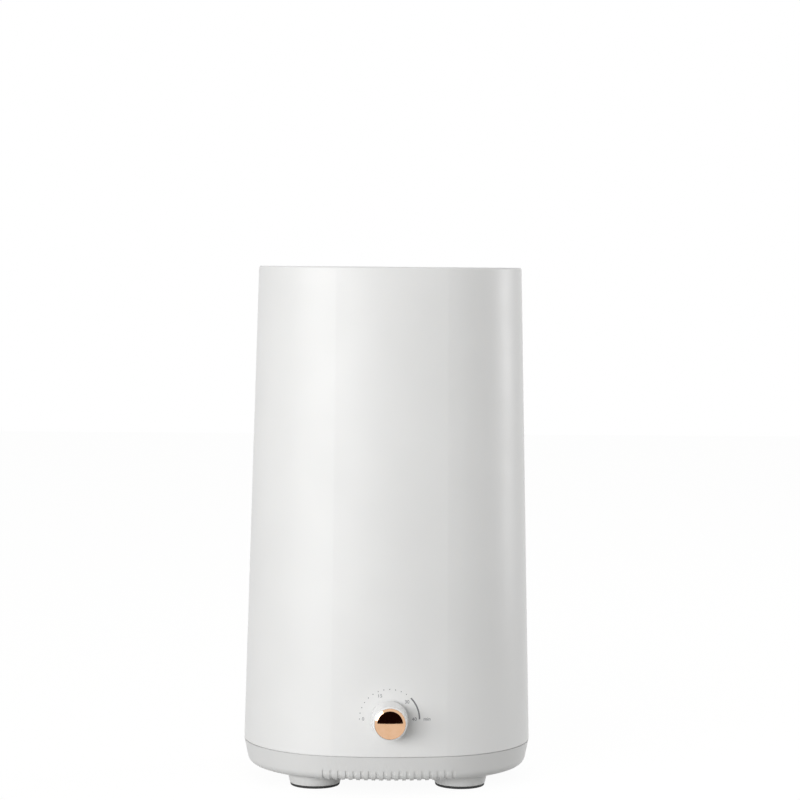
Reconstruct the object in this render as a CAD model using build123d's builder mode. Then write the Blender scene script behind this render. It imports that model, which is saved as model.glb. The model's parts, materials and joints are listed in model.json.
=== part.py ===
"""Countertop sterilizer box for knives, chopsticks and small cutlery.

Millimetres, +Z up.  The origin is on the table, under the middle of the oval body.
The dial faces -Y and the mains cord enters at +Y.
"""

import math
import os

from build123d import *

# --- Body oval: four tangent arcs, measured where the body meets the base -----------------
SEAM_HALF_WIDTH = 82.0
SEAM_HALF_DEPTH = 64.0
END_EASE = 2.0  # how much tighter the end arcs are than the half depth
DRAFT = 1.482  # degrees that the body leans in towards its rim

# --- Heights ------------------------------------------------------------------------------
FOOT_HEIGHT = 8.0
SEAM_Z = 22.5
RIM_Z = 293.0
CHAMBER_FLOOR_Z = 98.0  # underside of the chamber floor

# --- Shell, liner and base walls ----------------------------------------------------------
SHELL_WALL = 2.5
LIP_THICKNESS = 2.5
RIM_ROUND = 1.2
LIP_ROUND = 0.8
WALL_GAP = 2.0  # air gap between shell and liner at the rim
LINER_WALL = 2.0
SEAL_THICKNESS = 1.5
BASE_WALL = 2.5
BASE_EDGE_RADIUS = 5.5
BASE_TAPER = 11.5  # degrees that the base leans in below the seam
SEAM_GAP = 0.5
SEAM_GAP_DEPTH = 1.2
TONGUE_WALL = 1.8
TONGUE_HEIGHT = 5.0
TONGUE_ROOT = 3.0  # how far the tongue runs down inside the base wall
TONGUE_CLEARANCE = 0.3

# --- Feet ---------------------------------------------------------------------------------
FOOT_X = 41.0
FOOT_Y = 28.0
FOOT_TOP_RADIUS = 15.6
FOOT_BOTTOM_RADIUS = 14.2
PAD_RADIUS = 14.0
PAD_PLUG_RADIUS = 13.3  # the part sunk into the foot
PAD_THICKNESS = 2.2
PAD_PROUD = 1.5
PAD_CLEARANCE = 0.1
PAD_ROUND = 0.8
FOOT_EDGE_ROUND = 0.4
FOOT_NECK_HEIGHT = 0.7  # shadow gap under the base
FOOT_NECK_INSET = 0.9

# --- Screws and their holes ---------------------------------------------------------------
SCREW_CLEARANCE = 0.03  # radial, where a screw cuts its own thread
PASS_CLEARANCE = 0.2  # radial, where a screw passes through
HEAD_CLEARANCE = 0.3
FOOT_SCREW_RADIUS = 1.5
FOOT_SCREW_HEAD_RADIUS = 3.3
FOOT_SCREW_HEAD_HEIGHT = 2.4
FOOT_SCREW_BITE = 16.0
SMALL_SCREW_RADIUS = 1.25
SMALL_SCREW_HEAD_RADIUS = 2.4
SMALL_SCREW_HEAD_HEIGHT = 1.6
SMALL_SCREW_BITE = 3.4
FAN_SCREW_RADIUS = 1.9
FAN_SCREW_HEAD_RADIUS = 3.6
FAN_SCREW_HEAD_HEIGHT = 2.4
FAN_SCREW_BITE = 5.0
BLIND_END = 1.0  # depth left free past a screw's tip
PILLAR_RADIUS = 4.5

# --- Ribs round the base's front edge, and the intake slots behind them -------------------
GROOVE_COUNT = 18
GROOVE_PITCH = 4.24
GROOVE_WIDTH = 2.1
GROOVE_DEPTH = 0.6
GROOVE_TOP_Z = 14.0
GROOVE_BACK_Y = -46.5
SLOTS = 12
SLOT_LENGTH = 24.0
SLOT_ROW_Y = [-32.0, 0.0]

# --- Dial ---------------------------------------------------------------------------------
DIAL_Z = 43.4
SHAFT_RADIUS = 3.0
SHAFT_FLAT = 2.5  # distance of the flat from the shaft's axis
SHAFT_RUNNING = 0.05
SHAFT_HOLE_CLEARANCE = 0.8
KNOB_GAP = 0.9
KNOB_HEIGHT = 14.0
KNOB_BACK_RADIUS = 10.5
KNOB_RIM = 0.8
KNOB_EDGE_ROUND = 0.7
KNOB_WALL = 1.6
KNOB_WEB = 3.0
KNOB_HUB_RADIUS = 5.2
KNOB_HUB_SETBACK = 1.0
KNOB_MARK_WIDTH = 1.0
KNOB_MARK_DEPTH = 0.5
KNOB_MARK_LENGTH = 5.0
CAP_RADIUS = 8.5
CAP_CLEARANCE = 0.08
CAP_RECESS = 1.2
CAP_PROUD = 0.3
CAP_BEVEL_WIDTH = 1.4
CAP_BEVEL_DEPTH = 0.5
CAP_DOME = 0.35

# --- Timer --------------------------------------------------------------------------------
TIMER_SETBACK = 6.0  # mounting plate behind the inner face of the shell
TIMER_PLATE_WIDTH = 60.0
TIMER_PLATE_HEIGHT = 20.0
TIMER_PLATE_THICKNESS = 1.2
TIMER_SCREW_X = 26.0
TIMER_BOSS_RADIUS = 3.2
TIMER_CASE_WIDTH = 42.0
TIMER_CASE_HEIGHT = 42.0
TIMER_CASE_DEPTH = 30.0
TIMER_CASE_WALL = 1.5
TIMER_CASE_ROUND = 3.0
BARREL_RADIUS = 13.0
BARREL_LENGTH = 9.0
BARREL_SETBACK = 5.0
REAR_BEARING_RADIUS = 5.5
REAR_BEARING_LENGTH = 4.0
SHAFT_END_GAP = 0.3
TAB_WIDTH = 6.3
TAB_THICKNESS = 0.8
TAB_LENGTH = 7.0
TAB_SPACING = 16.0

# --- Cord gland ---------------------------------------------------------------------------
GLAND_Z = 34.0
GLAND_BORE_RADIUS = 3.4
GLAND_NECK_RADIUS = 5.2
GLAND_HOLE_CLEARANCE = 0.15
GLAND_FLANGE_RADIUS = 7.5
GLAND_FLANGE_THICKNESS = 2.0
GLAND_CLIP_RADIUS = 6.4
GLAND_CLIP_THICKNESS = 1.6
GLAND_SEAT_GAP = 0.3

# --- Hot air column: fan, heater, collar and cap ------------------------------------------
AIR_Y = -2.0
FAN_SIZE = 60.0
FAN_DEPTH = 15.0
FAN_CORNER_ROUND = 4.0
FAN_BORE_RADIUS = 28.5
FAN_SCREW_SPACING = 50.0
FAN_PLATE = 2.0
FAN_STRUTS = 4
FAN_STRUT_WIDTH = 3.0
FAN_HUB_RADIUS = 12.5
FAN_HUB_WALL = 1.5
FAN_HUB_GAP = 1.4
FAN_HUB_HEIGHT = 9.8
FAN_TIP_GAP = 1.0
FAN_BLADES = 7
FAN_BLADE_THICKNESS = 1.4
FAN_BLADE_CHORD = 15.0
FAN_BLADE_ANGLE = 48.0
FAN_BLADE_DEPTH = 8.6
BEARING_RADIUS = 3.4
FAN_SHAFT_RADIUS = 1.5
STATOR_RADIUS = 10.0
STATOR_HEIGHT = 6.0
STATOR_SLOTS = 4
STATOR_SLOT_WIDTH = 3.0
STATOR_CLEARANCE = 0.1
HEATER_HEIGHT = 17.0
HEATER_OPENING = 50.0
HEATER_LEDGE = 2.0
HEATER_LEDGE_HEIGHT = 2.0
HEATER_CLEARANCE = 0.3
HEATER_CORE_HEIGHT = 10.0
HEATER_BARS = 3
HEATER_BAR_WIDTH = 5.0
HEATER_FINS = 20
HEATER_FIN_THICKNESS = 0.6
COLLAR_WIDTH = 44.0
COLLAR_DEPTH = 40.0
COLLAR_WALL = 2.0
COLLAR_HEIGHT = 12.0
BOSS_RADIUS = 4.0
BOSS_HEIGHT = 8.0
CAP_ROOF_OVERHANG = 1.0
CAP_ROOF_THICKNESS = 2.0
CAP_WINDOW_HEIGHT = 3.0
CAP_POST = 5.0
CAP_SKIRT_DEPTH = 6.0
CAP_SKIRT_WALL = 1.6
CAP_SKIRT_CLEARANCE = 0.3
CUTOUT_RADIUS = 8.0
CUTOUT_HEIGHT = 6.0
CUTOUT_EAR_WIDTH = 24.0
CUTOUT_EAR_HEIGHT = 7.0
CUTOUT_EAR_THICKNESS = 1.2
CUTOUT_Y = 10.0

# --- Lamp ---------------------------------------------------------------------------------
LAMP_REAR_GAP = 1.5  # lamp base to the chamber's rear wall, in the middle
LAMP_TUBE_RADIUS = 4.0
LAMP_LEG_SPACING = 14.0
LAMP_LEG_LENGTH = 100.0
LAMP_BASE_WIDTH = 28.0
LAMP_BASE_DEPTH = 13.4
LAMP_BASE_HEIGHT = 14.0
LAMP_SPIGOT_RADIUS = 5.0
LAMP_HOLE_CLEARANCE = 0.3
LAMP_NUT_ACROSS = 14.0
LAMP_NUT_HEIGHT = 4.0
LAMP_SPIGOT_BELOW = 6.0
LAMP_THREAD_CLEARANCE = 0.05
GUARD_HALF_WIDTH = 16.0
GUARD_LAMP_GAP = 0.2
GUARD_WALL = 1.6
GUARD_HEIGHT = 142.0
GUARD_LINER_GAP = 0.5
GUARD_SLOT_WIDTH = 4.0
GUARD_SLOT_LENGTH = 24.0
GUARD_SLOT_PITCH = 8.0
GUARD_SLOTS = 14
GUARD_SLOT_START = 20.0
REFLECTOR_THICKNESS = 0.5
REFLECTOR_MARGIN = 1.0
REFLECTOR_HEIGHT = 112.0

# --- Lift-out tray, knife rack and chopstick basket ---------------------------------------
INSERT_CLEARANCE = 0.8
NOTCH_CLEARANCE = 1.2
TRAY_SEAT_GAP = 0.3
TRAY_WALL = 1.5
TRAY_HEIGHT = 9.0
TRAY_BOSS_CLEARANCE = 0.8
LEG_SEAT_GAP = 0.2
LEG_RADIUS = 4.0
INNER_LEG_POINTS = [(14.0, -40.5), (26.0, 38.0)]
OUTER_LEG_INSET = 5.7  # leg to the outer side of its insert
INSERT_FLOOR_GAP = 2.0  # above the hot air cap
INSERT_FLOOR = 2.0
INSERT_WALL = 1.8
INSERT_RIM_DROP = 8.0  # below the rim of the body
SPLIT_X = -4.0
SPLIT_GAP = 1.0
GUIDE_THICKNESS = 3.0
GUIDE_LIP_HEIGHT = 3.0
GUIDE_LIP_WALL = 1.2
GUIDE_LIP_CLEARANCE = 0.15
KNIFE_SLOT_WIDTH = 6.0
KNIFE_SLOT_CHAMFER = 0.8
KNIFE_SLOT_OUTER_INSET = 10.7  # outer slot to the outer side of the cage
KNIFE_SLOT_INNER_INSET = 12.5
KNIFE_SLOT_LENGTHS = [46.0, 72.0, 66.0]
KNIFE_SLOT_Y = [0.0, 0.0, -8.0]
DIVIDER_X = 34.0
DIVIDER_WALL = 1.6
CUTLERY_FLOOR_Z = 191.0
VENT_WIDTH = 4.0
VENT_LENGTH = 56.0
VENT_ROWS = 2
VENT_ROW_GAP = 10.0
VENT_PITCH = 8.0
VENT_FIRST_Z = 132.0
SIDE_VENTS = 5
CAGE_VENTS = 4
CAGE_VENT_INSET = 15.7  # leftmost vent to the outer side of the cage
CELL_VENTS = 4
CELL_VENT_X = 5.0
CUTLERY_VENTS = 2
CUTLERY_VENT_X = 43.0
VENT_POST_CLEARANCE = 0.4
DRAIN_WIDTH = 3.0
DRAIN_PITCH = 7.0
CAGE_DRAINS = 6
CAGE_DRAIN_INSET = 15.7  # leftmost drain to the outer side of the cage
CAGE_DRAIN_LENGTH = 48.0
CELL_DRAINS = 5
CELL_DRAIN_X = 3.0
CELL_DRAIN_Y = -8.0
CELL_DRAIN_LENGTH = 60.0
CUTLERY_DRAINS = 3
CUTLERY_DRAIN_X = 41.0
CUTLERY_DRAIN_LENGTH = 48.0

# --- Electronics on the base --------------------------------------------------------------
BOARD_X = -47.0
BOARD_WIDTH = 34.0
BOARD_DEPTH = 38.0
BOARD_THICKNESS = 1.6
BOARD_POST_HEIGHT = 5.0
POST_RADIUS = 3.0
BOARD_HOLE_INSET = 3.0
RELAY = (15.0, 19.0, 15.0)
TRANSFORMER = (15.0, 16.0, 14.0)
CONNECTOR = (22.0, 6.0, 8.0)
CONNECTOR_Y = -15.6
CONNECTOR_PITCH = 3.6
RELAY_PLACE = (-7.0, -1.0)  # from the middle of the board
TRANSFORMER_PLACE = (8.6, 3.0)
CAPACITOR_PLACE = (0.0, 15.0)
CAPACITOR_RADIUS = 4.0
CAPACITOR_HEIGHT = 12.0
BALLAST_X = 48.0
BALLAST_WIDTH = 28.0
BALLAST_DEPTH = 30.0
BALLAST_HEIGHT = 18.0
BALLAST_POST_HEIGHT = 3.0
BALLAST_EAR_DEPTH = 7.0
BALLAST_EAR_WIDTH = 9.0
BALLAST_EAR_THICKNESS = 2.0
BALLAST_ROUND = 2.0
LEAD_RADIUS = 1.2
HEATER_LEAD_Y = -12.0  # from the middle of the air column
FAN_LEAD_Y = -16.0
FAN_LEAD_RISE = 4.0  # above the underside of the fan
LAMP_LEAD_SPACING = 4.4
BALLAST_LEAD_SPACING = 8.0
BALLAST_LEAD_Y = 6.0
PLUG_RISE = 12.9  # upright run of a lead above the connector
FAN_PLUG_RISE = 11.9

# --- Worked out from the values above -----------------------------------------------------
END_RADIUS = SEAM_HALF_DEPTH - END_EASE
END_CENTRE = SEAM_HALF_WIDTH - END_RADIUS
SIDE_RADIUS = (END_CENTRE**2 + SEAM_HALF_DEPTH**2 - END_RADIUS**2) / (2 * END_EASE)
SIDE_CENTRE = SIDE_RADIUS - SEAM_HALF_DEPTH
JOIN_ANGLE = math.degrees(math.atan2(SIDE_CENTRE, END_CENTRE))

LEAN = math.tan(math.radians(DRAFT))
SHELL_HEIGHT = RIM_Z - SEAM_Z
RIM_INSET = SHELL_HEIGHT * LEAN
LINER_INSET = RIM_INSET + SHELL_WALL + WALL_GAP
CHAMBER_INSET = LINER_INSET + LINER_WALL
INSERT_INSET = CHAMBER_INSET + INSERT_CLEARANCE
INSERT_HALF_WIDTH = SEAM_HALF_WIDTH - INSERT_INSET
OUTER_LEG_POINT = (INSERT_HALF_WIDTH - LEG_RADIUS - OUTER_LEG_INSET, 0.0)
LAMP_Y = SEAM_HALF_DEPTH - CHAMBER_INSET - LAMP_REAR_GAP - LAMP_BASE_DEPTH / 2
GUARD_FRONT_Y = LAMP_Y - LAMP_BASE_DEPTH / 2 - GUARD_LAMP_GAP - GUARD_WALL
LINER_TOP_Z = RIM_Z - LIP_THICKNESS - SEAL_THICKNESS
CHAMBER_BOTTOM_Z = CHAMBER_FLOOR_Z + LINER_WALL
PAN_FLOOR_Z = FOOT_HEIGHT + BASE_WALL
COLLAR_TOP_Z = CHAMBER_BOTTOM_Z + COLLAR_HEIGHT
CAP_TOP_Z = COLLAR_TOP_Z + CAP_WINDOW_HEIGHT + CAP_ROOF_THICKNESS
INSERT_BOTTOM_Z = CAP_TOP_Z + INSERT_FLOOR_GAP
INSERT_TOP_Z = RIM_Z - INSERT_RIM_DROP
TRAY_BOTTOM_Z = CHAMBER_BOTTOM_Z + TRAY_SEAT_GAP
LEG_BOTTOM_Z = TRAY_BOTTOM_Z + TRAY_WALL + LEG_SEAT_GAP
HEATER_BOTTOM_Z = CHAMBER_FLOOR_Z - HEATER_HEIGHT
FAN_BOTTOM_Z = HEATER_BOTTOM_Z - FAN_DEPTH
LAMP_BASE_TOP_Z = CHAMBER_BOTTOM_Z + LAMP_BASE_HEIGHT
SIDE_VENT_Y = -(SIDE_VENTS - 1) / 2 * VENT_PITCH
SIDE_VENT_START = OUTER_LEG_POINT[0] + LEG_RADIUS + VENT_POST_CLEARANCE
FAN_SCREW_POINTS = [
    (x, AIR_Y + y)
    for x in (-FAN_SCREW_SPACING / 2, FAN_SCREW_SPACING / 2)
    for y in (-FAN_SCREW_SPACING / 2, FAN_SCREW_SPACING / 2)
]
FOOT_POINTS = {
    "front_left": (-FOOT_X, -FOOT_Y),
    "front_right": (FOOT_X, -FOOT_Y),
    "rear_left": (-FOOT_X, FOOT_Y),
    "rear_right": (FOOT_X, FOOT_Y),
}
BOARD_POINTS = [
    (BOARD_X + sx * (BOARD_WIDTH / 2 - BOARD_HOLE_INSET), sy * (BOARD_DEPTH / 2 - BOARD_HOLE_INSET))
    for sx in (-1, 1)
    for sy in (-1, 1)
]
BALLAST_POINTS = [
    (BALLAST_X, sy * (BALLAST_DEPTH + BALLAST_EAR_DEPTH) / 2) for sy in (-1, 1)
]


def front_face_y(z):
    """Distance of the body's outer face in front of or behind the middle, at height z."""
    return SEAM_HALF_DEPTH - (z - SEAM_Z) * LEAN


# Distances forward of the body's middle, along the dial's axis
PLATE_FRONT = front_face_y(DIAL_Z) - SHELL_WALL - TIMER_SETBACK
PLATE_BACK = PLATE_FRONT - TIMER_PLATE_THICKNESS
CASE_BACK = PLATE_BACK - TIMER_CASE_DEPTH
KNOB_BACK = front_face_y(DIAL_Z) + KNOB_GAP
KNOB_FRONT = KNOB_BACK + KNOB_HEIGHT
RECESS_FLOOR = KNOB_FRONT - CAP_RECESS
WEB_BACK = RECESS_FLOOR - KNOB_WEB
SHAFT_FRONT = RECESS_FLOOR - KNOB_WEB / 2
BARREL_FRONT = PLATE_BACK - BARREL_SETBACK
CASE_FLOOR = CASE_BACK + TIMER_CASE_WALL
SHAFT_END = CASE_FLOOR + SHAFT_END_GAP
KNOB_FRONT_RADIUS = CAP_RADIUS + CAP_CLEARANCE + KNOB_RIM

DIAL_PLANE = Plane(origin=(0, 0, DIAL_Z), x_dir=(0, -1, 0), z_dir=(-1, 0, 0))
DIAL_AXIS = Axis((0, 0, DIAL_Z), (0, -1, 0))
GLAND_PLANE = Plane(origin=(0, 0, GLAND_Z), x_dir=(0, 1, 0), z_dir=(1, 0, 0))
GLAND_AXIS = Axis((0, 0, GLAND_Z), (0, 1, 0))


def facing_front(forward):
    """A plane that faces the front, this far in front of the body's middle."""
    return Plane.XZ.offset(forward)


def facing_rear(backward):
    """A plane that faces the rear, this far behind the body's middle."""
    return Plane(origin=(0, backward, 0), x_dir=(-1, 0, 0), z_dir=(0, 1, 0))


# --- Outlines shared by several pieces ----------------------------------------------------


def oval(inset):
    """The body's four-arc oval, moved in by inset."""
    end = END_RADIUS - inset
    side = SIDE_RADIUS - inset
    side_sweep = 180 - 2 * JOIN_ANGLE
    with BuildSketch() as outline:
        with BuildLine():
            CenterArc((END_CENTRE, 0), end, -JOIN_ANGLE, 2 * JOIN_ANGLE)
            CenterArc((0, -SIDE_CENTRE), side, JOIN_ANGLE, side_sweep)
            CenterArc((-END_CENTRE, 0), end, 180 - JOIN_ANGLE, 2 * JOIN_ANGLE)
            CenterArc((0, SIDE_CENTRE), side, 180 + JOIN_ANGLE, side_sweep)
        make_face()
    return outline.sketch


def chamber_outline(shrink):
    """The chamber's plan less the lamp guard, with room to lift out, moved in by shrink."""
    half = GUARD_HALF_WIDTH + NOTCH_CLEARANCE + shrink
    front = GUARD_FRONT_Y - NOTCH_CLEARANCE - shrink
    with BuildSketch() as outline:
        add(oval(INSERT_INSET + shrink))
        with Locations((0, front)):
            Rectangle(
                2 * half, SEAM_HALF_DEPTH, align=(Align.CENTER, Align.MIN), mode=Mode.SUBTRACT
            )
    return outline.sketch


def insert_outline(shrink, low_x, high_x):
    """The part of the chamber's plan between two upright planes, moved in by shrink."""
    with BuildSketch() as outline:
        add(chamber_outline(shrink))
        with Locations(((low_x + high_x) / 2, 0)):
            Rectangle(high_x - low_x - 2 * shrink, 2 * SEAM_HALF_DEPTH, mode=Mode.INTERSECT)
    return outline.sketch


def tray_outline(shrink):
    """The tray's plan: the chamber less the hot air collar and its bosses."""
    with BuildSketch() as outline:
        add(chamber_outline(shrink))
        reach = FAN_SCREW_SPACING + 2 * (BOSS_RADIUS + TRAY_BOSS_CLEARANCE + shrink)
        with Locations((0, AIR_Y)):
            Rectangle(reach, reach, mode=Mode.SUBTRACT)
    return outline.sketch


def vent_slots(count, first):
    """Rows of this many upright vent slots, the first of each row at this place."""
    with BuildSketch() as slots:
        for row in range(VENT_ROWS):
            z = VENT_FIRST_Z + VENT_LENGTH / 2 + row * (VENT_LENGTH + VENT_ROW_GAP)
            with Locations(*[(first + i * VENT_PITCH, z) for i in range(count)]):
                SlotOverall(VENT_LENGTH, VENT_WIDTH, rotation=90)
    return slots.sketch


def drain_slots(count, first, middle_y, length):
    """A row of drain slots across a floor, the first of them at this place."""
    with BuildSketch() as slots:
        with Locations(*[(first + i * DRAIN_PITCH, middle_y) for i in range(count)]):
            SlotOverall(length, DRAIN_WIDTH, rotation=90)
    return slots.sketch


def leads(*routes):
    """Round insulated leads, each along straight runs joined by tangent arcs."""
    with BuildPart() as wires:
        for points in routes:
            radii = []
            for before, here, after in zip(points, points[1:], points[2:]):
                arriving = Vector(*here) - Vector(*before)
                leaving = Vector(*after) - Vector(*here)
                half_turn = math.radians(arriving.get_angle(leaving)) / 2
                radii.append(0.45 * min(arriving.length, leaving.length) / math.tan(half_turn))
            print("lead radii in mm:", [round(radius, 1) for radius in radii])
            with BuildLine() as route:
                FilletPolyline(*points, radius=radii)
            with BuildSketch(Plane(route.line @ 0, z_dir=route.line % 0)):
                Circle(LEAD_RADIUS)
            sweep(path=route.line)
    return wires


nodes = {}

# --- Outer shell --------------------------------------------------------------------------

with BuildPart() as shell_cavity:
    with BuildSketch(Plane.XY.offset(SEAM_Z)):
        add(oval(SHELL_WALL))
    extrude(amount=SHELL_HEIGHT - LIP_THICKNESS, taper=DRAFT)
    with BuildSketch(facing_front(PLATE_FRONT)):
        with Locations((-TIMER_SCREW_X, DIAL_Z), (TIMER_SCREW_X, DIAL_Z)):
            Circle(TIMER_BOSS_RADIUS)
    extrude(amount=SEAM_HALF_DEPTH, mode=Mode.SUBTRACT)

with BuildPart() as outer_shell:
    with BuildSketch(Plane.XY.offset(SEAM_Z)):
        add(oval(0))
    extrude(amount=SHELL_HEIGHT, taper=DRAFT)
    fillet(outer_shell.faces().sort_by(Axis.Z)[-1].edges(), RIM_ROUND)
    add(shell_cavity.part, mode=Mode.SUBTRACT)
    with BuildSketch(Plane.XY.offset(RIM_Z - LIP_THICKNESS)):
        add(oval(CHAMBER_INSET))
    extrude(amount=LIP_THICKNESS, mode=Mode.SUBTRACT)
    lip_edges = outer_shell.faces().sort_by(Axis.Z)[-1].inner_wires()[0].edges()
    fillet(lip_edges, LIP_ROUND)
    with BuildSketch(facing_front(0)):
        with Locations((0, DIAL_Z)):
            Circle(SHAFT_RADIUS + SHAFT_HOLE_CLEARANCE)
    extrude(amount=2 * SEAM_HALF_DEPTH, mode=Mode.SUBTRACT)
    with BuildSketch(facing_rear(0)):
        with Locations((0, GLAND_Z)):
            Circle(GLAND_NECK_RADIUS + GLAND_HOLE_CLEARANCE)
    extrude(amount=2 * SEAM_HALF_DEPTH, mode=Mode.SUBTRACT)
    with BuildSketch(facing_front(PLATE_FRONT)):
        with Locations((-TIMER_SCREW_X, DIAL_Z), (TIMER_SCREW_X, DIAL_Z)):
            Circle(SMALL_SCREW_RADIUS + SCREW_CLEARANCE)
    extrude(amount=SMALL_SCREW_BITE + BLIND_END / 2, mode=Mode.SUBTRACT)
nodes["outer_shell"] = outer_shell

# --- Base pan -----------------------------------------------------------------------------



def rounded_pan(inset):
    """The base's outer form, moved in by inset."""
    with BuildPart() as form:
        with BuildSketch(Plane.XY.offset(SEAM_Z)):
            add(oval(inset))
        extrude(amount=FOOT_HEIGHT + inset - SEAM_Z, taper=BASE_TAPER)
        fillet(form.faces().sort_by(Axis.Z)[0].edges(), BASE_EDGE_RADIUS - inset)
    return form.part


def columns(count):
    """Side positions of this many grooves or slots, about the middle."""
    return [(i - (count - 1) / 2) * GROOVE_PITCH for i in range(count)]


with BuildPart() as edge_grooves:
    with BuildSketch(Plane.XY.offset(FOOT_HEIGHT)):
        with Locations(*[(x, (GROOVE_BACK_Y - SEAM_HALF_DEPTH) / 2) for x in columns(GROOVE_COUNT)]):
            SlotOverall(GROOVE_BACK_Y + SEAM_HALF_DEPTH, GROOVE_WIDTH, rotation=90)
    extrude(amount=GROOVE_TOP_Z - FOOT_HEIGHT)
    add(rounded_pan(GROOVE_DEPTH), mode=Mode.SUBTRACT)

with BuildPart() as base_pan:
    add(rounded_pan(0))
    add(rounded_pan(BASE_WALL), mode=Mode.SUBTRACT)
    add(edge_grooves.part, mode=Mode.SUBTRACT)
    with BuildSketch(Plane.XY.offset(SEAM_Z - SEAM_GAP)):
        add(oval(0))
        add(oval(SEAM_GAP_DEPTH), mode=Mode.SUBTRACT)
    extrude(amount=SEAM_GAP, mode=Mode.SUBTRACT)
    tongue_outer = max(SHELL_WALL, BASE_WALL) + TONGUE_CLEARANCE
    with BuildSketch(Plane.XY.offset(SEAM_Z - TONGUE_ROOT)):
        add(oval(tongue_outer))
        add(oval(tongue_outer + TONGUE_WALL), mode=Mode.SUBTRACT)
    extrude(amount=TONGUE_ROOT + TONGUE_HEIGHT)
    with BuildSketch(Plane.XY.offset(SEAM_Z - TONGUE_ROOT)):
        add(oval(BASE_WALL / 2))
        add(oval(tongue_outer + TONGUE_WALL), mode=Mode.SUBTRACT)
    extrude(amount=TONGUE_ROOT - SEAM_GAP)
    with BuildSketch(Plane.XY.offset(PAN_FLOOR_Z)):
        with Locations(*BOARD_POINTS):
            Circle(POST_RADIUS)
    extrude(amount=BOARD_POST_HEIGHT)
    with BuildSketch(Plane.XY.offset(PAN_FLOOR_Z)):
        with Locations(*BALLAST_POINTS):
            Circle(POST_RADIUS)
    extrude(amount=BALLAST_POST_HEIGHT)
    small_hole = SMALL_SCREW_RADIUS + SCREW_CLEARANCE
    small_depth = SMALL_SCREW_BITE + BLIND_END
    with Locations(*[(x, y, PAN_FLOOR_Z + BOARD_POST_HEIGHT) for x, y in BOARD_POINTS]):
        Hole(small_hole, depth=small_depth)
    with Locations(*[(x, y, PAN_FLOOR_Z + BALLAST_POST_HEIGHT) for x, y in BALLAST_POINTS]):
        Hole(small_hole, depth=small_depth)
    with Locations(*[(x, y, PAN_FLOOR_Z) for x, y in FOOT_POINTS.values()]):
        Hole(FOOT_SCREW_RADIUS + PASS_CLEARANCE, depth=BASE_WALL)
    with BuildSketch(Plane.XY.offset(FOOT_HEIGHT)):
        with Locations(*[(x, y) for x in columns(SLOTS) for y in SLOT_ROW_Y]):
            SlotOverall(SLOT_LENGTH, GROOVE_WIDTH, rotation=90)
    extrude(amount=BASE_WALL, mode=Mode.SUBTRACT)
nodes["base_pan"] = base_pan

# --- Feet and their rubber pads -----------------------------------------------------------

FOOT_SOLE_Z = PAD_PROUD
PAD_TOP_Z = PAD_THICKNESS
SCREW_SEAT_Z = PAD_TOP_Z + HEAD_CLEARANCE + FOOT_SCREW_HEAD_HEIGHT

for place, (foot_x, foot_y) in FOOT_POINTS.items():
    with BuildPart(Plane(origin=(foot_x, foot_y, 0))) as foot:
        with Locations((0, 0, FOOT_SOLE_Z)):
            Cone(
                FOOT_BOTTOM_RADIUS,
                FOOT_TOP_RADIUS,
                FOOT_HEIGHT - FOOT_SOLE_Z - FOOT_NECK_HEIGHT,
                align=(Align.CENTER, Align.CENTER, Align.MIN),
            )
        with Locations((0, 0, FOOT_HEIGHT)):
            Cylinder(
                FOOT_TOP_RADIUS - FOOT_NECK_INSET,
                FOOT_NECK_HEIGHT,
                align=(Align.CENTER, Align.CENTER, Align.MAX),
            )
        fillet(foot.edges().filter_by(GeomType.CIRCLE).sort_by(Axis.Z)[0], FOOT_EDGE_ROUND)
        with Locations((0, 0, PAD_TOP_Z)):
            Cylinder(
                PAD_PLUG_RADIUS + PAD_CLEARANCE,
                PAD_TOP_Z - FOOT_SOLE_Z,
                align=(Align.CENTER, Align.CENTER, Align.MAX),
                mode=Mode.SUBTRACT,
            )
        with Locations((0, 0, SCREW_SEAT_Z)):
            Cylinder(
                FOOT_SCREW_HEAD_RADIUS + HEAD_CLEARANCE,
                SCREW_SEAT_Z - PAD_TOP_Z,
                align=(Align.CENTER, Align.CENTER, Align.MAX),
                mode=Mode.SUBTRACT,
            )
        with Locations((0, 0, FOOT_HEIGHT)):
            Hole(FOOT_SCREW_RADIUS + PASS_CLEARANCE, depth=FOOT_HEIGHT - SCREW_SEAT_Z)
    nodes[f"foot_{place}"] = foot
    with BuildPart(Plane(origin=(foot_x, foot_y, 0))) as pad:
        Cylinder(PAD_PLUG_RADIUS, PAD_THICKNESS, align=(Align.CENTER, Align.CENTER, Align.MIN))
        Cylinder(PAD_RADIUS, PAD_PROUD, align=(Align.CENTER, Align.CENTER, Align.MIN))
        fillet(pad.edges().sort_by(Axis.Z)[0], PAD_ROUND)
    nodes[f"foot_pad_{place}"] = pad

with BuildPart() as foot_screws:
    with Locations(*[(x, y, SCREW_SEAT_Z) for x, y in FOOT_POINTS.values()]):
        Cylinder(
            FOOT_SCREW_HEAD_RADIUS,
            FOOT_SCREW_HEAD_HEIGHT,
            align=(Align.CENTER, Align.CENTER, Align.MAX),
        )
        Cylinder(
            FOOT_SCREW_RADIUS,
            PAN_FLOOR_Z - SCREW_SEAT_Z + FOOT_SCREW_BITE,
            align=(Align.CENTER, Align.CENTER, Align.MIN),
        )
nodes["foot_screws"] = foot_screws

# --- Chamber liner with its four pillars, and the seal under the rim ----------------------

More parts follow.
